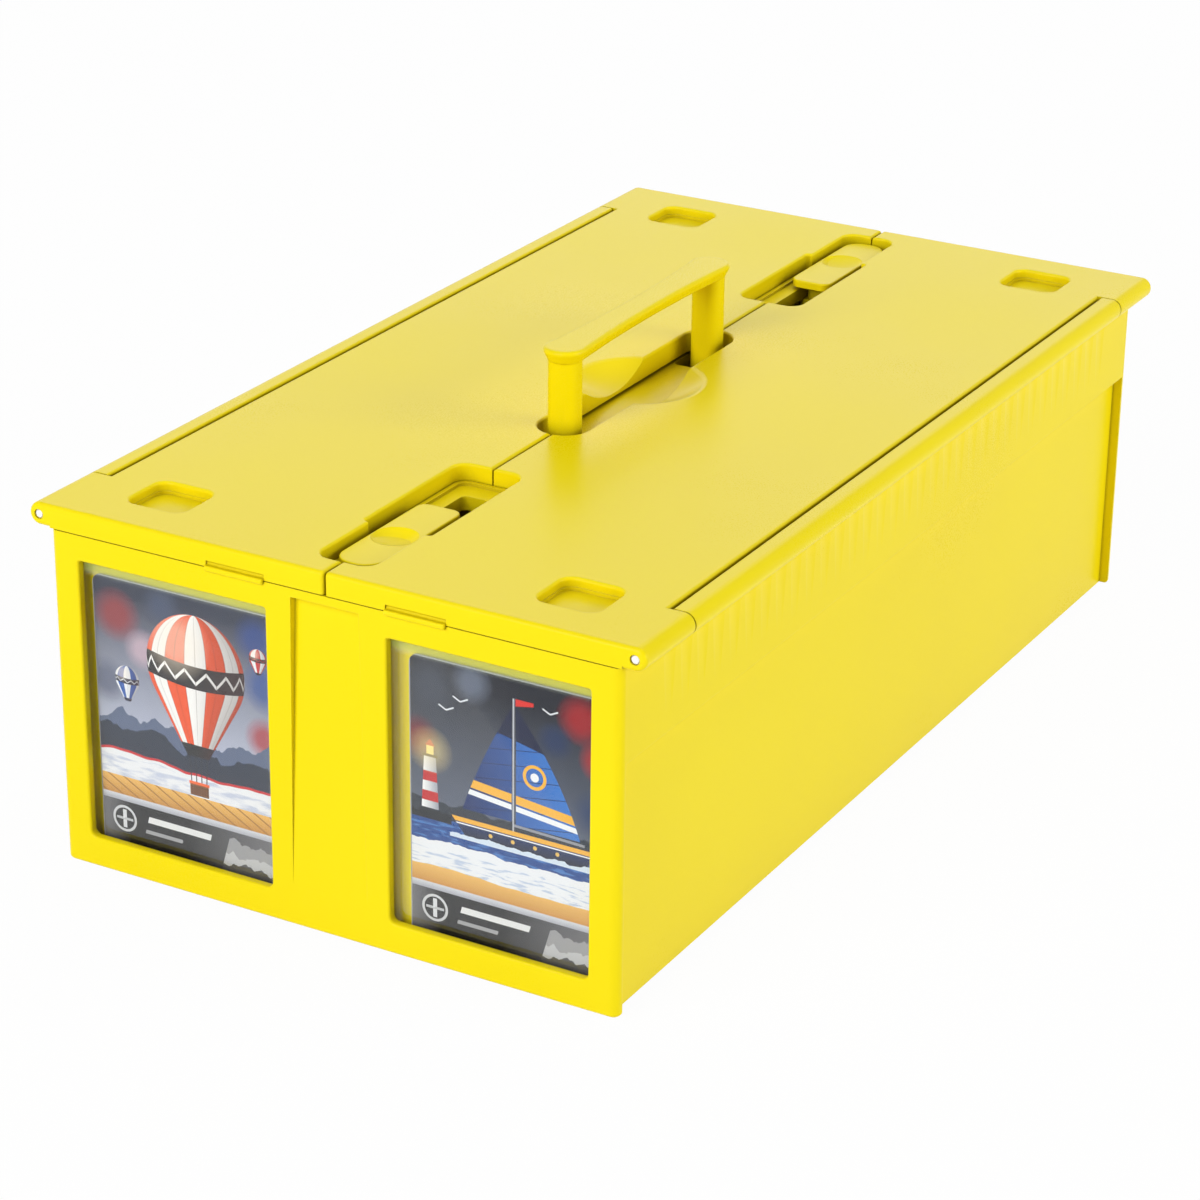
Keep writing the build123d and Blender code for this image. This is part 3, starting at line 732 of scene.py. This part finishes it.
@dataclass(frozen=True)
class Balloon:
    """Striped hot-air balloon: a round crown over a cone, and a belt with a zigzag.

    The sizes with a value given here are shares of the radius.
    """

    u: float
    v: float
    radius: float
    main: Value
    stripe: Value
    belt: Value
    gores: int
    cone_slope: float = 0.577
    cone_reach: float = 1.155
    cone_top: float = -0.5
    mouth: float = -1.62
    collar: float = -1.40
    belt_low: float = -0.36
    belt_high: float = 0.06
    belt_bow: float = 0.12

    def paint(self, artist: CardArtist) -> None:
        """Paint the balloon.

        Args:
            artist: Painter of the card.
        """
        sketch, radius = artist.sketch, self.radius
        rise = sketch.maths("SUBTRACT", artist.v, self.v)
        half_width = self.half_width(sketch, rise)
        turn = sketch.maths("DIVIDE", sketch.maths("SUBTRACT", artist.u, self.u), half_width)
        mask = artist.both(artist.band(-1.0, 1.0, turn), artist.band(self.mouth * radius, radius, rise))
        artist.paint(mask, self.main)
        around = sketch.maths("MULTIPLY", sketch.maths("ARCSINE", turn), self.gores / math.pi)
        alternate = sketch.maths("LESS_THAN", sketch.maths("PINGPONG", around, 1.0), 0.5)
        artist.paint(artist.both(mask, alternate), self.stripe)
        bow = sketch.maths("MULTIPLY", sketch.maths("MULTIPLY", turn, turn), self.belt_bow * radius)
        bowed = sketch.maths("SUBTRACT", rise, bow)
        artist.paint(artist.both(mask, artist.band(self.belt_low * radius, self.belt_high * radius, bowed)),
                     self.belt)
        teeth = sketch.maths("PINGPONG", around, 0.5)
        teeth = sketch.maths("MULTIPLY_ADD", teeth, 0.44 * radius, -0.26 * radius)
        artist.paint(artist.both(mask, sketch.maths("COMPARE", bowed, teeth, 0.035 * radius)), self.stripe)
        artist.paint(artist.both(mask, artist.stripes(around, 0.5, 0.035)),
                     sketch.blend(0.45, artist.colour, ink(60, 16, 14)))
        collar = artist.band(self.mouth * radius, self.collar * radius, rise)
        artist.paint(artist.both(mask, collar), self.belt)
        artist.paint(artist.both(mask, sketch.ramp(turn, -0.1, 1.0, 0.0, 0.55)), ink(62, 14, 18))
        shine = artist.glow(self.u - 0.38 * radius, self.v + 0.42 * radius, 0.7 * radius)
        artist.paint(artist.both(mask, sketch.maths("MULTIPLY", shine, 0.38)), ink(255, 236, 214))

    def half_width(self, sketch: NodeSketch, rise: Socket) -> Socket:
        """Half width of the balloon at a height.

        Args:
            sketch: Sketch of the card's material.
            rise: Height over the balloon's middle.

        Returns:
            The half width.
        """
        height = sketch.maths("SUBTRACT", self.radius ** 2, sketch.maths("MULTIPLY", rise, rise))
        crown = sketch.maths("SQRT", sketch.maths("MAXIMUM", height, 0.0))
        cone = sketch.maths("MULTIPLY_ADD", rise, self.cone_slope, self.cone_reach * self.radius)
        under = sketch.maths("LESS_THAN", rise, self.cone_top * self.radius)
        cone = sketch.maths("MULTIPLY", cone, under)
        return sketch.maths("MAXIMUM", sketch.maths("MAXIMUM", crown, cone), 0.01)


class CardPicture:
    """Generic picture above a card's title band."""

    def __init__(self, artist: CardArtist, ground: float) -> None:
        """Set up the picture.

        Args:
            artist: Painter of the card.
            ground: Lower edge of the picture.
        """
        self.artist = artist
        self.ground = ground

    def lights(self, *spots: tuple[float, float, float, Value]) -> None:
        """Paint the soft, out-of-focus patches behind a picture.

        Args:
            spots: Place, height, radius and colour of each patch.
        """
        for u, v, radius, colour in spots:
            patch = self.artist.sketch.maths("MULTIPLY", self.artist.glow(u, v, radius), 0.85)
            self.artist.paint(patch, colour)

    def streaks(self, across: float, upward: float, low: float, high: float) -> Socket:
        """Mask of level streaks.

        Args:
            across: Waves per millimetre along the card.
            upward: Waves per millimetre up the card.
            low: Noise at which a streak starts.
            high: Noise at which it is full.

        Returns:
            The mask.
        """
        stretch = {0: self.artist.flat, 1: (across, upward, 1)}
        lying = self.artist.sketch.add("VectorMath", stretch, operation="MULTIPLY").outputs[0]
        return self.artist.sketch.ramp(self.artist.sketch.noise(lying, 1.0, 3.0), low, high, 0.0, 0.8)


class BalloonPicture(CardPicture):
    """Balloons over mountains, a snow field and a strip of stubble."""

    basket_u = 3.0
    basket_half = 3.2
    basket_top = -13.2
    basket_height = 4.4
    field_height = 6.0

    def paint(self) -> None:
        """Paint the picture from back to front."""
        artist = self.artist
        artist.between(1.0, ink(182, 186, 208), ink(30, 38, 62), -4.0, 40.0)
        self.lights((-24, 33, 9, ink(150, 44, 48)), (-15, 24, 7, ink(196, 170, 186)),
                    (24, 36, 8, ink(34, 66, 138)), (27, 22, 9, ink(40, 78, 150)),
                    (-28, 12, 8, ink(92, 98, 124)), (26, 6, 7, ink(170, 40, 48)),
                    (-8, 39, 7, ink(62, 74, 104)))
        artist.paint(artist.below(1.5, artist.profile(20.0, 8.0, 1.0, 5.0)), ink(92, 104, 134))
        artist.paint(artist.below(-3.5, artist.profile(16.0, 6.0, 7.0, 5.0)), ink(38, 46, 66))
        for level, tone in ((-10.0, ink(206, 42, 50)), (-10.8, ink(236, 236, 243))):
            artist.paint(artist.below(level, artist.profile(24.0, 2.0, 5.0, 2.0)), tone)
        drift = self.streaks(0.12, 0.6, 0.46, 0.62)
        snow = artist.below(-12.0, artist.profile(15.0, 1.6, 6.0, 2.0))
        artist.paint(artist.both(snow, drift), ink(186, 194, 220))
        top = self.ground + self.field_height
        field = artist.band(self.ground - 1, top)
        artist.between(field, ink(196, 138, 62), ink(236, 184, 96), self.ground, top)
        furrows = artist.stripes(artist.lean(0.55, 1.0), 3.1, 0.5)
        artist.paint(artist.both(field, furrows), ink(170, 116, 54))
        Balloon(-21.0, 13.5, 4.2, ink(44, 92, 176), ink(236, 238, 244), ink(24, 30, 62), 5).paint(artist)
        Balloon(24.5, 30.5, 3.0, ink(238, 240, 246), ink(206, 48, 50), ink(34, 30, 36), 5).paint(artist)
        near = Balloon(self.basket_u, 22.0, 16.8, ink(238, 84, 30), ink(244, 242, 242), ink(22, 20, 25), 7)
        near.paint(artist)
        self.basket(near.v + near.mouth * near.radius)

    def basket(self, mouth: float) -> None:
        """Paint the basket of the near balloon, and its ropes.

        Args:
            mouth: Height of the balloon's mouth.
        """
        artist, middle, top = self.artist, self.basket_u, self.basket_top
        for side in (-1, 1):
            for high, low in ((3.0, 2.6), (1.0, 0.9)):
                hook, knot = (middle + side * low, top - 0.4), (middle + side * high, mouth + 0.3)
                artist.paint(artist.stroke(hook, knot, 0.34), ink(26, 24, 28))
        sides = (middle - self.basket_half, middle + self.basket_half)
        artist.paint(artist.box(*sides, top - self.basket_height, top), ink(74, 42, 26))
        weave = artist.sketch.maths("MAXIMUM", artist.stripes(artist.u, 0.9, 0.25),
                                    artist.stripes(artist.v, 0.9, 0.25))
        artist.paint(artist.both(artist.box(*sides, top - self.basket_height, top), weave), ink(140, 88, 48))
        artist.paint(artist.box(sides[0] - 0.3, sides[1] + 0.3, top - 0.9, top), ink(244, 104, 44))


class SailboatPicture(CardPicture):
    """Boat with two sails before a lighthouse, on a sea with a foamy edge and a strip of sand."""

    deck = -1.2
    keel = -6.8
    mast_left = 0.9
    mast_right = 1.8
    mast_top = 38.5
    tower_middle = -25.25
    tower_top = 15.0

    def paint(self) -> None:
        """Paint the picture from back to front."""
        artist = self.artist
        artist.between(1.0, ink(96, 104, 124), ink(28, 30, 42), -4.0, 38.0)
        self.lights((-25, 36, 9, ink(60, 66, 82)), (22, 37, 8, ink(168, 34, 40)),
                    (14, 29, 6, ink(34, 52, 92)), (28, 26, 7, ink(186, 44, 42)),
                    (-12, 40, 7, ink(104, 112, 132)), (27, 10, 8, ink(44, 62, 104)),
                    (-29, 20, 7, ink(122, 30, 38)))
        self.shore()
        self.lighthouse()
        self.sails()
        self.hull()
        for u, v in ((-20.0, 30.0), (-15.5, 33.5), (12.5, 36.5)):
            for side in (-1, 1):
                artist.paint(artist.stroke((u, v), (u + 2.4 * side, v + 1.2), 0.45), ink(226, 228, 236))

    def shore(self) -> None:
        """Paint the far coast, the sea, its foam and the sand."""
        artist = self.artist
        artist.paint(artist.below(2.0, artist.profile(20.0, 4.0, 21.0, 5.0)), ink(40, 48, 62))
        artist.paint(artist.below(-3.2, artist.profile(60.0, 0.4, 2.0, 1.0)), ink(28, 70, 142))
        ripple = self.streaks(0.16, 1.1, 0.52, 0.60)
        artist.paint(artist.both(artist.band(-11.0, -3.2), ripple), ink(76, 130, 200))
        artist.paint(artist.below(-10.6, artist.profile(9.0, 1.2, 4.0, 3.0)), ink(236, 237, 244))
        foam = artist.below(-13.0, artist.profile(9.0, 1.2, 8.0, 3.0))
        artist.paint(artist.both(foam, ripple), ink(176, 192, 222))
        sand = artist.below(self.ground + 5.2, artist.profile(22.0, 0.8, 6.0, 2.0))
        artist.between(sand, ink(206, 146, 70), ink(238, 190, 104), self.ground, self.ground + 6.0)

    def lighthouse(self) -> None:
        """Paint the lighthouse on its rock, with its lamp lit."""
        artist, red = self.artist, ink(196, 36, 40)
        rock = artist.below(-1.4, artist.profile(4.0, 1.8, 15.0, 4.0))
        artist.paint(artist.both(rock, artist.band(-PAST_EDGE, -18.5, artist.u),
                                 artist.band(-4.4, PAST_EDGE)), ink(20, 24, 34))
        tower = artist.both(artist.band(-1.0, self.tower_top), artist.beyond(1.0, -0.055, -28.0),
                            artist.beyond(-1.0, -0.055, 22.6))
        artist.between(tower, ink(250, 250, 252), ink(150, 154, 170), -28.0, -22.6, artist.u)
        for low in (1.2, 7.2):
            artist.paint(artist.both(tower, artist.band(low, low + 3.0)), red)
        gallery, lamp, roof = 0.4, 3.0, 5.6
        artist.paint(artist.box(self.tower_middle - 2.35, self.tower_middle + 2.35,
                                self.tower_top - gallery, self.tower_top + gallery), ink(24, 26, 34))
        artist.paint(artist.box(self.tower_middle - 1.15, self.tower_middle + 1.15,
                                self.tower_top + gallery, self.tower_top + lamp), ink(255, 226, 140))
        eaves = 0.8 * (self.tower_top + lamp)
        artist.paint(artist.both(artist.band(self.tower_top + lamp, self.tower_top + roof),
                                 artist.beyond(1.0, -0.8, self.tower_middle - 1.65 - eaves),
                                 artist.beyond(-1.0, -0.8, -self.tower_middle - 1.65 - eaves)), red)
        glow = artist.glow(self.tower_middle + 0.05, self.tower_top + 1.7, 7.5)
        artist.paint(artist.sketch.maths("MULTIPLY", glow, 0.35), ink(255, 230, 160))

    def sails(self) -> None:
        """Paint the mast, the mainsail and the jib."""
        artist, sketch = self.artist, self.artist.sketch
        height = sketch.maths("MULTIPLY_ADD", artist.v, 1 / 36.0, -1.0 / 36.0)
        belly = sketch.maths("MULTIPLY", height, sketch.maths("SUBTRACT", 1.0, height))
        belly = sketch.maths("MULTIPLY", belly, 9.0)
        leech = sketch.maths("SUBTRACT", artist.lean(1.0, 0.58), belly)
        main = artist.both(artist.band(2.0, PAST_EDGE, artist.u), artist.band(1.0, PAST_EDGE),
                           sketch.maths("LESS_THAN", leech, 22.6))
        luff = sketch.maths("ADD", artist.lean(1.0, -0.46), sketch.maths("MULTIPLY", belly, 0.5))
        jib = artist.both(artist.band(-PAST_EDGE, 0.6, artist.u), artist.band(1.6, PAST_EDGE),
                          sketch.maths("GREATER_THAN", luff, -15.6))
        orange, white = ink(246, 182, 58), ink(242, 243, 248)
        for sail, dark, bright in ((main, ink(24, 62, 138), ink(58, 122, 206)),
                                   (jib, ink(18, 44, 104), ink(44, 98, 180))):
            artist.between(sail, dark, bright, -12.0, 22.0, artist.lean(1.0, 0.25))
            seams = artist.stripes(artist.lean(-0.16, 1.0), 4.6, 0.22)
            artist.paint(artist.both(sail, seams), ink(14, 34, 84))
            for low, high, rake, tone in ((7.4, 10.0, 0.10, orange), (5.2, 6.8, 0.10, white),
                                          (26.5, PAST_EDGE, 0.22, ink(20, 28, 62))):
                artist.paint(artist.both(sail, artist.band(low, high, artist.lean(rake, 1.0))), tone)
        ring_u, ring_v = 7.8, 16.6
        ring = sketch.maths("SUBTRACT", artist.disc(ring_u, ring_v, 3.7), artist.disc(ring_u, ring_v, 2.7))
        artist.paint(artist.both(main, ring), orange)
        artist.paint(artist.both(main, artist.disc(ring_u, ring_v, 1.3)), white)
        self.mast()

    def mast(self) -> None:
        """Paint the mast, the boom and the pennant."""
        artist, foot = self.artist, -1.4
        artist.paint(artist.box(self.mast_left, self.mast_right, foot, self.mast_top), ink(188, 190, 198))
        artist.paint(artist.box(self.mast_left + 0.5, self.mast_right, foot, self.mast_top), ink(70, 72, 84))
        artist.paint(artist.stroke((1.4, 0.6), (23.4, 0.0), 0.8), ink(150, 152, 162))
        low = self.mast_top - 2.1
        artist.paint(artist.both(artist.band(low, self.mast_top),
                                 artist.band(self.mast_right, 7.4, artist.lean(1.0, 0.0)),
                                 artist.beyond(-0.19, 1.0, low - 0.4)), ink(220, 50, 44))

    def hull(self) -> None:
        """Paint the hull with its trim and portholes, and the wash along it."""
        artist = self.artist
        hull = artist.both(artist.band(self.keel, self.deck), artist.beyond(1.0, 0.80, -19.4),
                           artist.beyond(-1.0, 0.55, -27.6))
        artist.between(hull, ink(12, 20, 44), ink(34, 58, 116), self.keel, self.deck)
        artist.paint(artist.both(hull, artist.band(self.deck - 1.4, self.deck)), ink(244, 180, 60))
        artist.paint(artist.both(hull, artist.band(self.deck - 2.1, self.deck - 1.7)), ink(240, 240, 246))
        for number in range(4):
            artist.paint(artist.disc(-6.0 + 7.0 * number, -4.6, 0.62), ink(232, 190, 96))
        wash = artist.below(self.keel + 0.4, artist.profile(5.0, 0.9, 13.0, 3.0))
        artist.paint(artist.both(wash, artist.band(self.keel - 1.0, 0.0),
                                 artist.band(-19.0, 27.0, artist.u)), ink(214, 226, 242))


@dataclass(frozen=True)
class CardPrint:
    """Coated card with a generic picture, a plain dark title band and a pale rule between them.

    Sizes on the card are in millimetres, and waves are counted per metre.
    """

    motif: Motif
    half_width: float = 31.75
    half_height: float = 44.45
    band_height: float = 18.5
    rule: float = 2.0
    edge_width: float = 0.35
    back_margin: float = 3.0
    lattice_pitch: float = 4.8
    lattice_line: float = 0.8
    gloss: float = 0.26
    specular_level: float = 0.12
    fibre_waves: float = 4000.0
    screen_waves: float = 5200.0
    relief: float = 0.004 * MM

    def material(self, middle: Vector) -> bpy.types.Material:
        """Build the printed card.

        Args:
            middle: Middle of the card in the frame.

        Returns:
            The material.
        """
        material, sketch = NodeSketch.for_material(f"printed_card_{self.motif.value}")
        artist = CardArtist(sketch, middle, ink(150, 150, 156))
        rule_low = self.band_height - self.half_height
        ground = rule_low + self.rule
        picture = BalloonPicture if self.motif is Motif.BALLOON else SailboatPicture
        picture(artist, ground).paint()
        TitleBand(self.half_width, -self.half_height, rule_low).paint(artist)
        strip = artist.band(rule_low, ground)
        artist.between(strip, ink(170, 171, 184), ink(214, 215, 226), rule_low, ground)
        front = sketch.blend(self.inside(artist, self.edge_width), ink(158, 160, 168), artist.colour)
        facing = sketch.add("SeparateXYZ", {0: sketch.add("TexCoord", {}).outputs["Normal"]}).outputs[1]
        back = self.back(artist)
        # The card's edges, its top edge among them, are painted a mid grey, darker than bare board: painted
        # shade that keeps the lit top edge from showing bright.
        fibre = sketch.noise(sketch.place(), self.fibre_waves)
        painted_shade_edge = sketch.blend(fibre, ink(166, 163, 156), ink(184, 182, 176))
        colour = sketch.blend(sketch.maths("LESS_THAN", facing, -0.5), painted_shade_edge, front)
        colour = sketch.blend(sketch.maths("GREATER_THAN", facing, 0.5), colour, back)
        screen = sketch.noise(sketch.place(), self.screen_waves, 1.0)
        shader = sketch.add("BsdfPrincipled", {
            "Base Color": colour,
            "Roughness": sketch.ramp(screen, 0.3, 0.7, self.gloss - 0.05, self.gloss + 0.08),
            "Specular IOR Level": self.specular_level,
            "Normal": sketch.bump(screen, self.relief),
        })
        sketch.finish(shader.outputs[0])
        return material

    def inside(self, artist: CardArtist, margin: float) -> Socket:
        """Mask of the card inside a margin.

        Args:
            artist: Painter of the card.
            margin: Width of the margin.

        Returns:
            The mask.
        """
        return artist.box(margin - self.half_width, self.half_width - margin,
                          margin - self.half_height, self.half_height - margin)

    def back(self, artist: CardArtist) -> Socket:
        """Paint the plain lattice on the back of the card.

        Args:
            artist: Painter of the card.

        Returns:
            The colour of the back.
        """
        sketch = artist.sketch
        lines = [artist.stripes(artist.lean(1.0, float(side)), self.lattice_pitch, self.lattice_line)
                 for side in (-1, 1)]
        lattice = sketch.blend(sketch.maths("MAXIMUM", *lines), ink(92, 100, 116), ink(150, 156, 168))
        return sketch.blend(self.inside(artist, self.back_margin), ink(214, 214, 218), lattice)


class Assembly:
    """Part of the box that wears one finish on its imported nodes."""

    nodes: tuple[str, ...] = ()

    def dress(self, frame: dict[str, Any], finish: bpy.types.Material) -> None:
        """Give every node of the part its finish.

        Args:
            frame: The loaded frame.
            finish: The material.
        """
        for name in self.nodes:
            node = frame["nodes"][name]
            node.data.materials.clear()
            node.data.materials.append(finish)
            LOG.info("%s wears %s", name, finish.name)


class CaseMouldings(Assembly):
    """The tub with its feet, and the spine between its rows."""

    nodes = ("tub", "stacking_feet", "centre_spine")


class CapMoulding(Assembly):
    """The spine's cap, which shows through the openings in the lids."""

    nodes = ("spine_cap",)


class LidPair(Assembly):
    """The two lids."""

    nodes = ("left_lid", "right_lid")


class CarryHandle(Assembly):
    """The grip with its posts, and the stops under them."""

    nodes = ("handle", "handle_stop_front", "handle_stop_rear")


class SlideLatches(Assembly):
    """The two sliding latches and their keepers."""

    nodes = ("front_latch_slider", "rear_latch_slider", "front_latch_keeper", "rear_latch_keeper")


class HingePins(Assembly):
    """The four hinge pins."""

    nodes = tuple(f"hinge_pin_{end}_{side}" for end in ("front", "rear") for side in ("left", "right"))


class Screws(Assembly):
    """All the screws."""

    nodes = ("cap_screws", "spine_screws", "handle_stop_screws", "front_latch_screws", "rear_latch_screws")


class WindowPanes(Assembly):
    """The four window panes."""

    nodes = tuple(f"window_pane_{end}_{side}" for end in ("front", "rear") for side in ("left", "right"))


@dataclass
class DisplayCard:
    """One of the two cards behind the front windows."""

    node: str
    motif: Motif

    def dress(self, frame: dict[str, Any]) -> None:
        """Print the card.

        Args:
            frame: The loaded frame.
        """
        low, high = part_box(self.node)
        card = frame["nodes"][self.node]
        card.data.materials.clear()
        card.data.materials.append(CardPrint(self.motif).material((low + high) / 2))
        LOG.info("%s carries the %s", self.node, self.motif.value)


@dataclass
class StudioCamera:
    """Camera at the angle of the reference picture, which is square."""

    location: tuple[float, float, float] = (0.5049, -0.9226, 0.5021)
    azimuth: float = 29.287
    elevation: float = 23.707
    roll: float = 0.692
    focal_pixels: float = 3635.9
    picture_pixels: float = 1200
    sensor: float = 36.0
    reach: float = 50.0

    def place(self) -> None:
        """Put the camera in the scene and make it the active one."""
        azimuth, elevation, roll = (math.radians(v) for v in (self.azimuth, self.elevation, self.roll))
        back = Vector((math.sin(azimuth) * math.cos(elevation), -math.cos(azimuth) * math.cos(elevation),
                       math.sin(elevation)))
        right = Vector((math.cos(azimuth), math.sin(azimuth), 0))
        up = back.cross(right)
        rolled_right = math.cos(roll) * right + math.sin(roll) * up
        rolled_up = -math.sin(roll) * right + math.cos(roll) * up
        data = bpy.data.cameras.new("studio_camera")
        data.sensor_width = self.sensor
        data.lens = self.focal_pixels / self.picture_pixels * self.sensor
        data.clip_end = self.reach
        camera = bpy.data.objects.new("studio_camera", data)
        turn = Matrix((rolled_right, rolled_up, back)).transposed()
        camera.matrix_world = Matrix.Translation(Vector(self.location)) @ turn.to_4x4()
        bpy.context.scene.collection.objects.link(camera)
        bpy.context.scene.camera = camera


@dataclass
class SoftBox:
    """Large square lamp that faces the box."""

    name: str
    azimuth: float
    elevation: float
    distance: float
    width: float
    power: float

    def place(self, target: Vector) -> None:
        """Hang the lamp.

        Args:
            target: Point that it faces.
        """
        azimuth, elevation = math.radians(self.azimuth), math.radians(self.elevation)
        away = Vector((math.cos(elevation) * math.sin(azimuth), -math.cos(elevation) * math.cos(azimuth),
                       math.sin(elevation)))
        data = bpy.data.lights.new(self.name, "AREA")
        data.shape = "SQUARE"
        data.size = self.width
        data.energy = self.power
        lamp = bpy.data.objects.new(self.name, data)
        lamp.location = target + away * self.distance
        lamp.rotation_euler = away.to_track_quat("Z", "Y").to_euler()
        bpy.context.scene.collection.objects.link(lamp)


@dataclass
class Studio:
    """Plain pale floor, white surround and soft lamps. The floor's waves are counted per metre."""

    ambient: float = 0.17
    floor_reach: float = 6.0
    floor_colour: Colour = (0.86, 0.86, 0.86)
    floor_cloud_colour: Colour = (0.88, 0.88, 0.88)
    floor_cloud_waves: float = 3.0
    floor_glow: float = 0.97
    rim_segments: int = 96

    def seen_directly(self, sketch: NodeSketch) -> Socket:
        """Mask of the rays that show the surround itself: to the camera, in gloss and through glass.

        Args:
            sketch: Sketch of the floor or the world.

        Returns:
            The mask.
        """
        rays = sketch.add("LightPath", {}).outputs
        shown = sketch.maths("MAXIMUM", rays["Is Camera Ray"], rays["Is Glossy Ray"])
        return sketch.maths("MAXIMUM", shown, rays["Is Transmission Ray"])

    def surround(self) -> None:
        """Light the world evenly, and show it white."""
        world = bpy.data.worlds.new("white_surround")
        bpy.context.scene.world = world
        world.use_nodes = True
        sketch = NodeSketch(world.node_tree)
        strength = sketch.ramp(self.seen_directly(sketch), 0.0, 1.0, self.ambient, 1.0)
        shade = sketch.add("Background", {"Color": (1, 1, 1, 1), "Strength": strength}).outputs[0]
        output = world.node_tree.nodes.new("ShaderNodeOutputWorld")
        world.node_tree.links.new(shade, output.inputs["Surface"])

    def floor_material(self) -> bpy.types.Material:
        """Build the floor's finish, which keeps a light shadow.

        Returns:
            The material.
        """
        material, sketch = NodeSketch.for_material("studio_floor")
        cloud = sketch.noise(sketch.place(), self.floor_cloud_waves)
        pale = sketch.blend(cloud, (*self.floor_colour, 1), (*self.floor_cloud_colour, 1))
        matte = sketch.add("BsdfDiffuse", {"Color": pale}).outputs[0]
        glow = sketch.add("Emission", {"Color": (1, 1, 1, 1), "Strength": 1.0}).outputs[0]
        share = sketch.maths("MULTIPLY", self.seen_directly(sketch), self.floor_glow)
        sketch.finish(sketch.add("MixShader", {0: share, 1: matte, 2: glow}).outputs[0])
        return material

    def floor(self) -> None:
        """Lay the round floor that the feet stand on."""
        turns = [math.tau * number / self.rim_segments for number in range(self.rim_segments)]
        corners = [(self.floor_reach * math.cos(turn), self.floor_reach * math.sin(turn), 0.0)
                   for turn in turns]
        mesh = bpy.data.meshes.new("studio_floor")
        mesh.from_pydata(corners, [], [list(range(self.rim_segments))])
        mesh.materials.append(self.floor_material())
        floor = bpy.data.objects.new("studio_floor", mesh)
        bpy.context.scene.collection.objects.link(floor)
        floor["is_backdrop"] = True

    def build(self, target: Vector) -> None:
        """Set up the whole studio.

        Args:
            target: Middle of the box, which the lamps face.
        """
        self.surround()
        self.floor()
        SoftBox("front_lamp", -9.0, 27.0, 2.2, 1.4, 38.0).place(target)
        SoftBox("right_lamp", 104.0, 14.0, 2.0, 1.2, 23.0).place(target)
        SoftBox("rear_lamp", 209.0, 30.0, 2.0, 1.6, 9.0).place(target)
        SoftBox("top_lamp", 180.0, 75.0, 2.0, 1.8, 7.0).place(target)
        StudioCamera().place()
        bpy.context.scene.view_settings.view_transform = "Standard"


def plain_box(bounds: Sequence[Sequence[float]]) -> list[list[float]]:
    """Turn a box into plain lists.

    Args:
        bounds: Its lowest and highest corners.

    Returns:
        The same corners as lists of numbers.
    """
    return [[float(value) for value in corner] for corner in bounds]


def main() -> None:
    """Load the frame, dress every piece and set up the studio around the box's bounds."""
    logging.basicConfig(level=logging.INFO, format="%(name)s: %(message)s")
    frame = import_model()
    cad_box = plain_box(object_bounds())
    low, high = (Vector(corner) for corner in cad_box)
    # Painted shade reaches 2.4 mm on the case. On the cap it reaches 30 mm, painting its guide slots dark
    # where they open into the spine, with no painted glow in its gaps.
    case_plastic = MouldedPlastic("yellow_case_plastic", painted_shade_reach=2.4 * MM)
    cap_plastic = MouldedPlastic("yellow_cap_plastic", painted_shade_reach=30 * MM, painted_gap_glow=0.0)
    grip_plastic = MouldedPlastic("yellow_grip_plastic", edge_radius=0.9 * MM)
    CaseMouldings().dress(frame, case_plastic.material())
    CapMoulding().dress(frame, cap_plastic.material())
    plastic = MouldedPlastic().material()
    for part in (LidPair(), SlideLatches()):
        part.dress(frame, plastic)
    CarryHandle().dress(frame, grip_plastic.material())
    HingePins().dress(frame, DrawnSteel().material())
    Screws().dress(frame, ZincPlating().material())
    WindowPanes().dress(frame, HazySheet().material())
    DisplayCard("display_card_left", Motif.BALLOON).dress(frame)
    DisplayCard("display_card_right", Motif.SAILBOAT).dress(frame)
    Studio().build((low + high) / 2)
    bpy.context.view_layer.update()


if __name__ == "__main__":
    main()
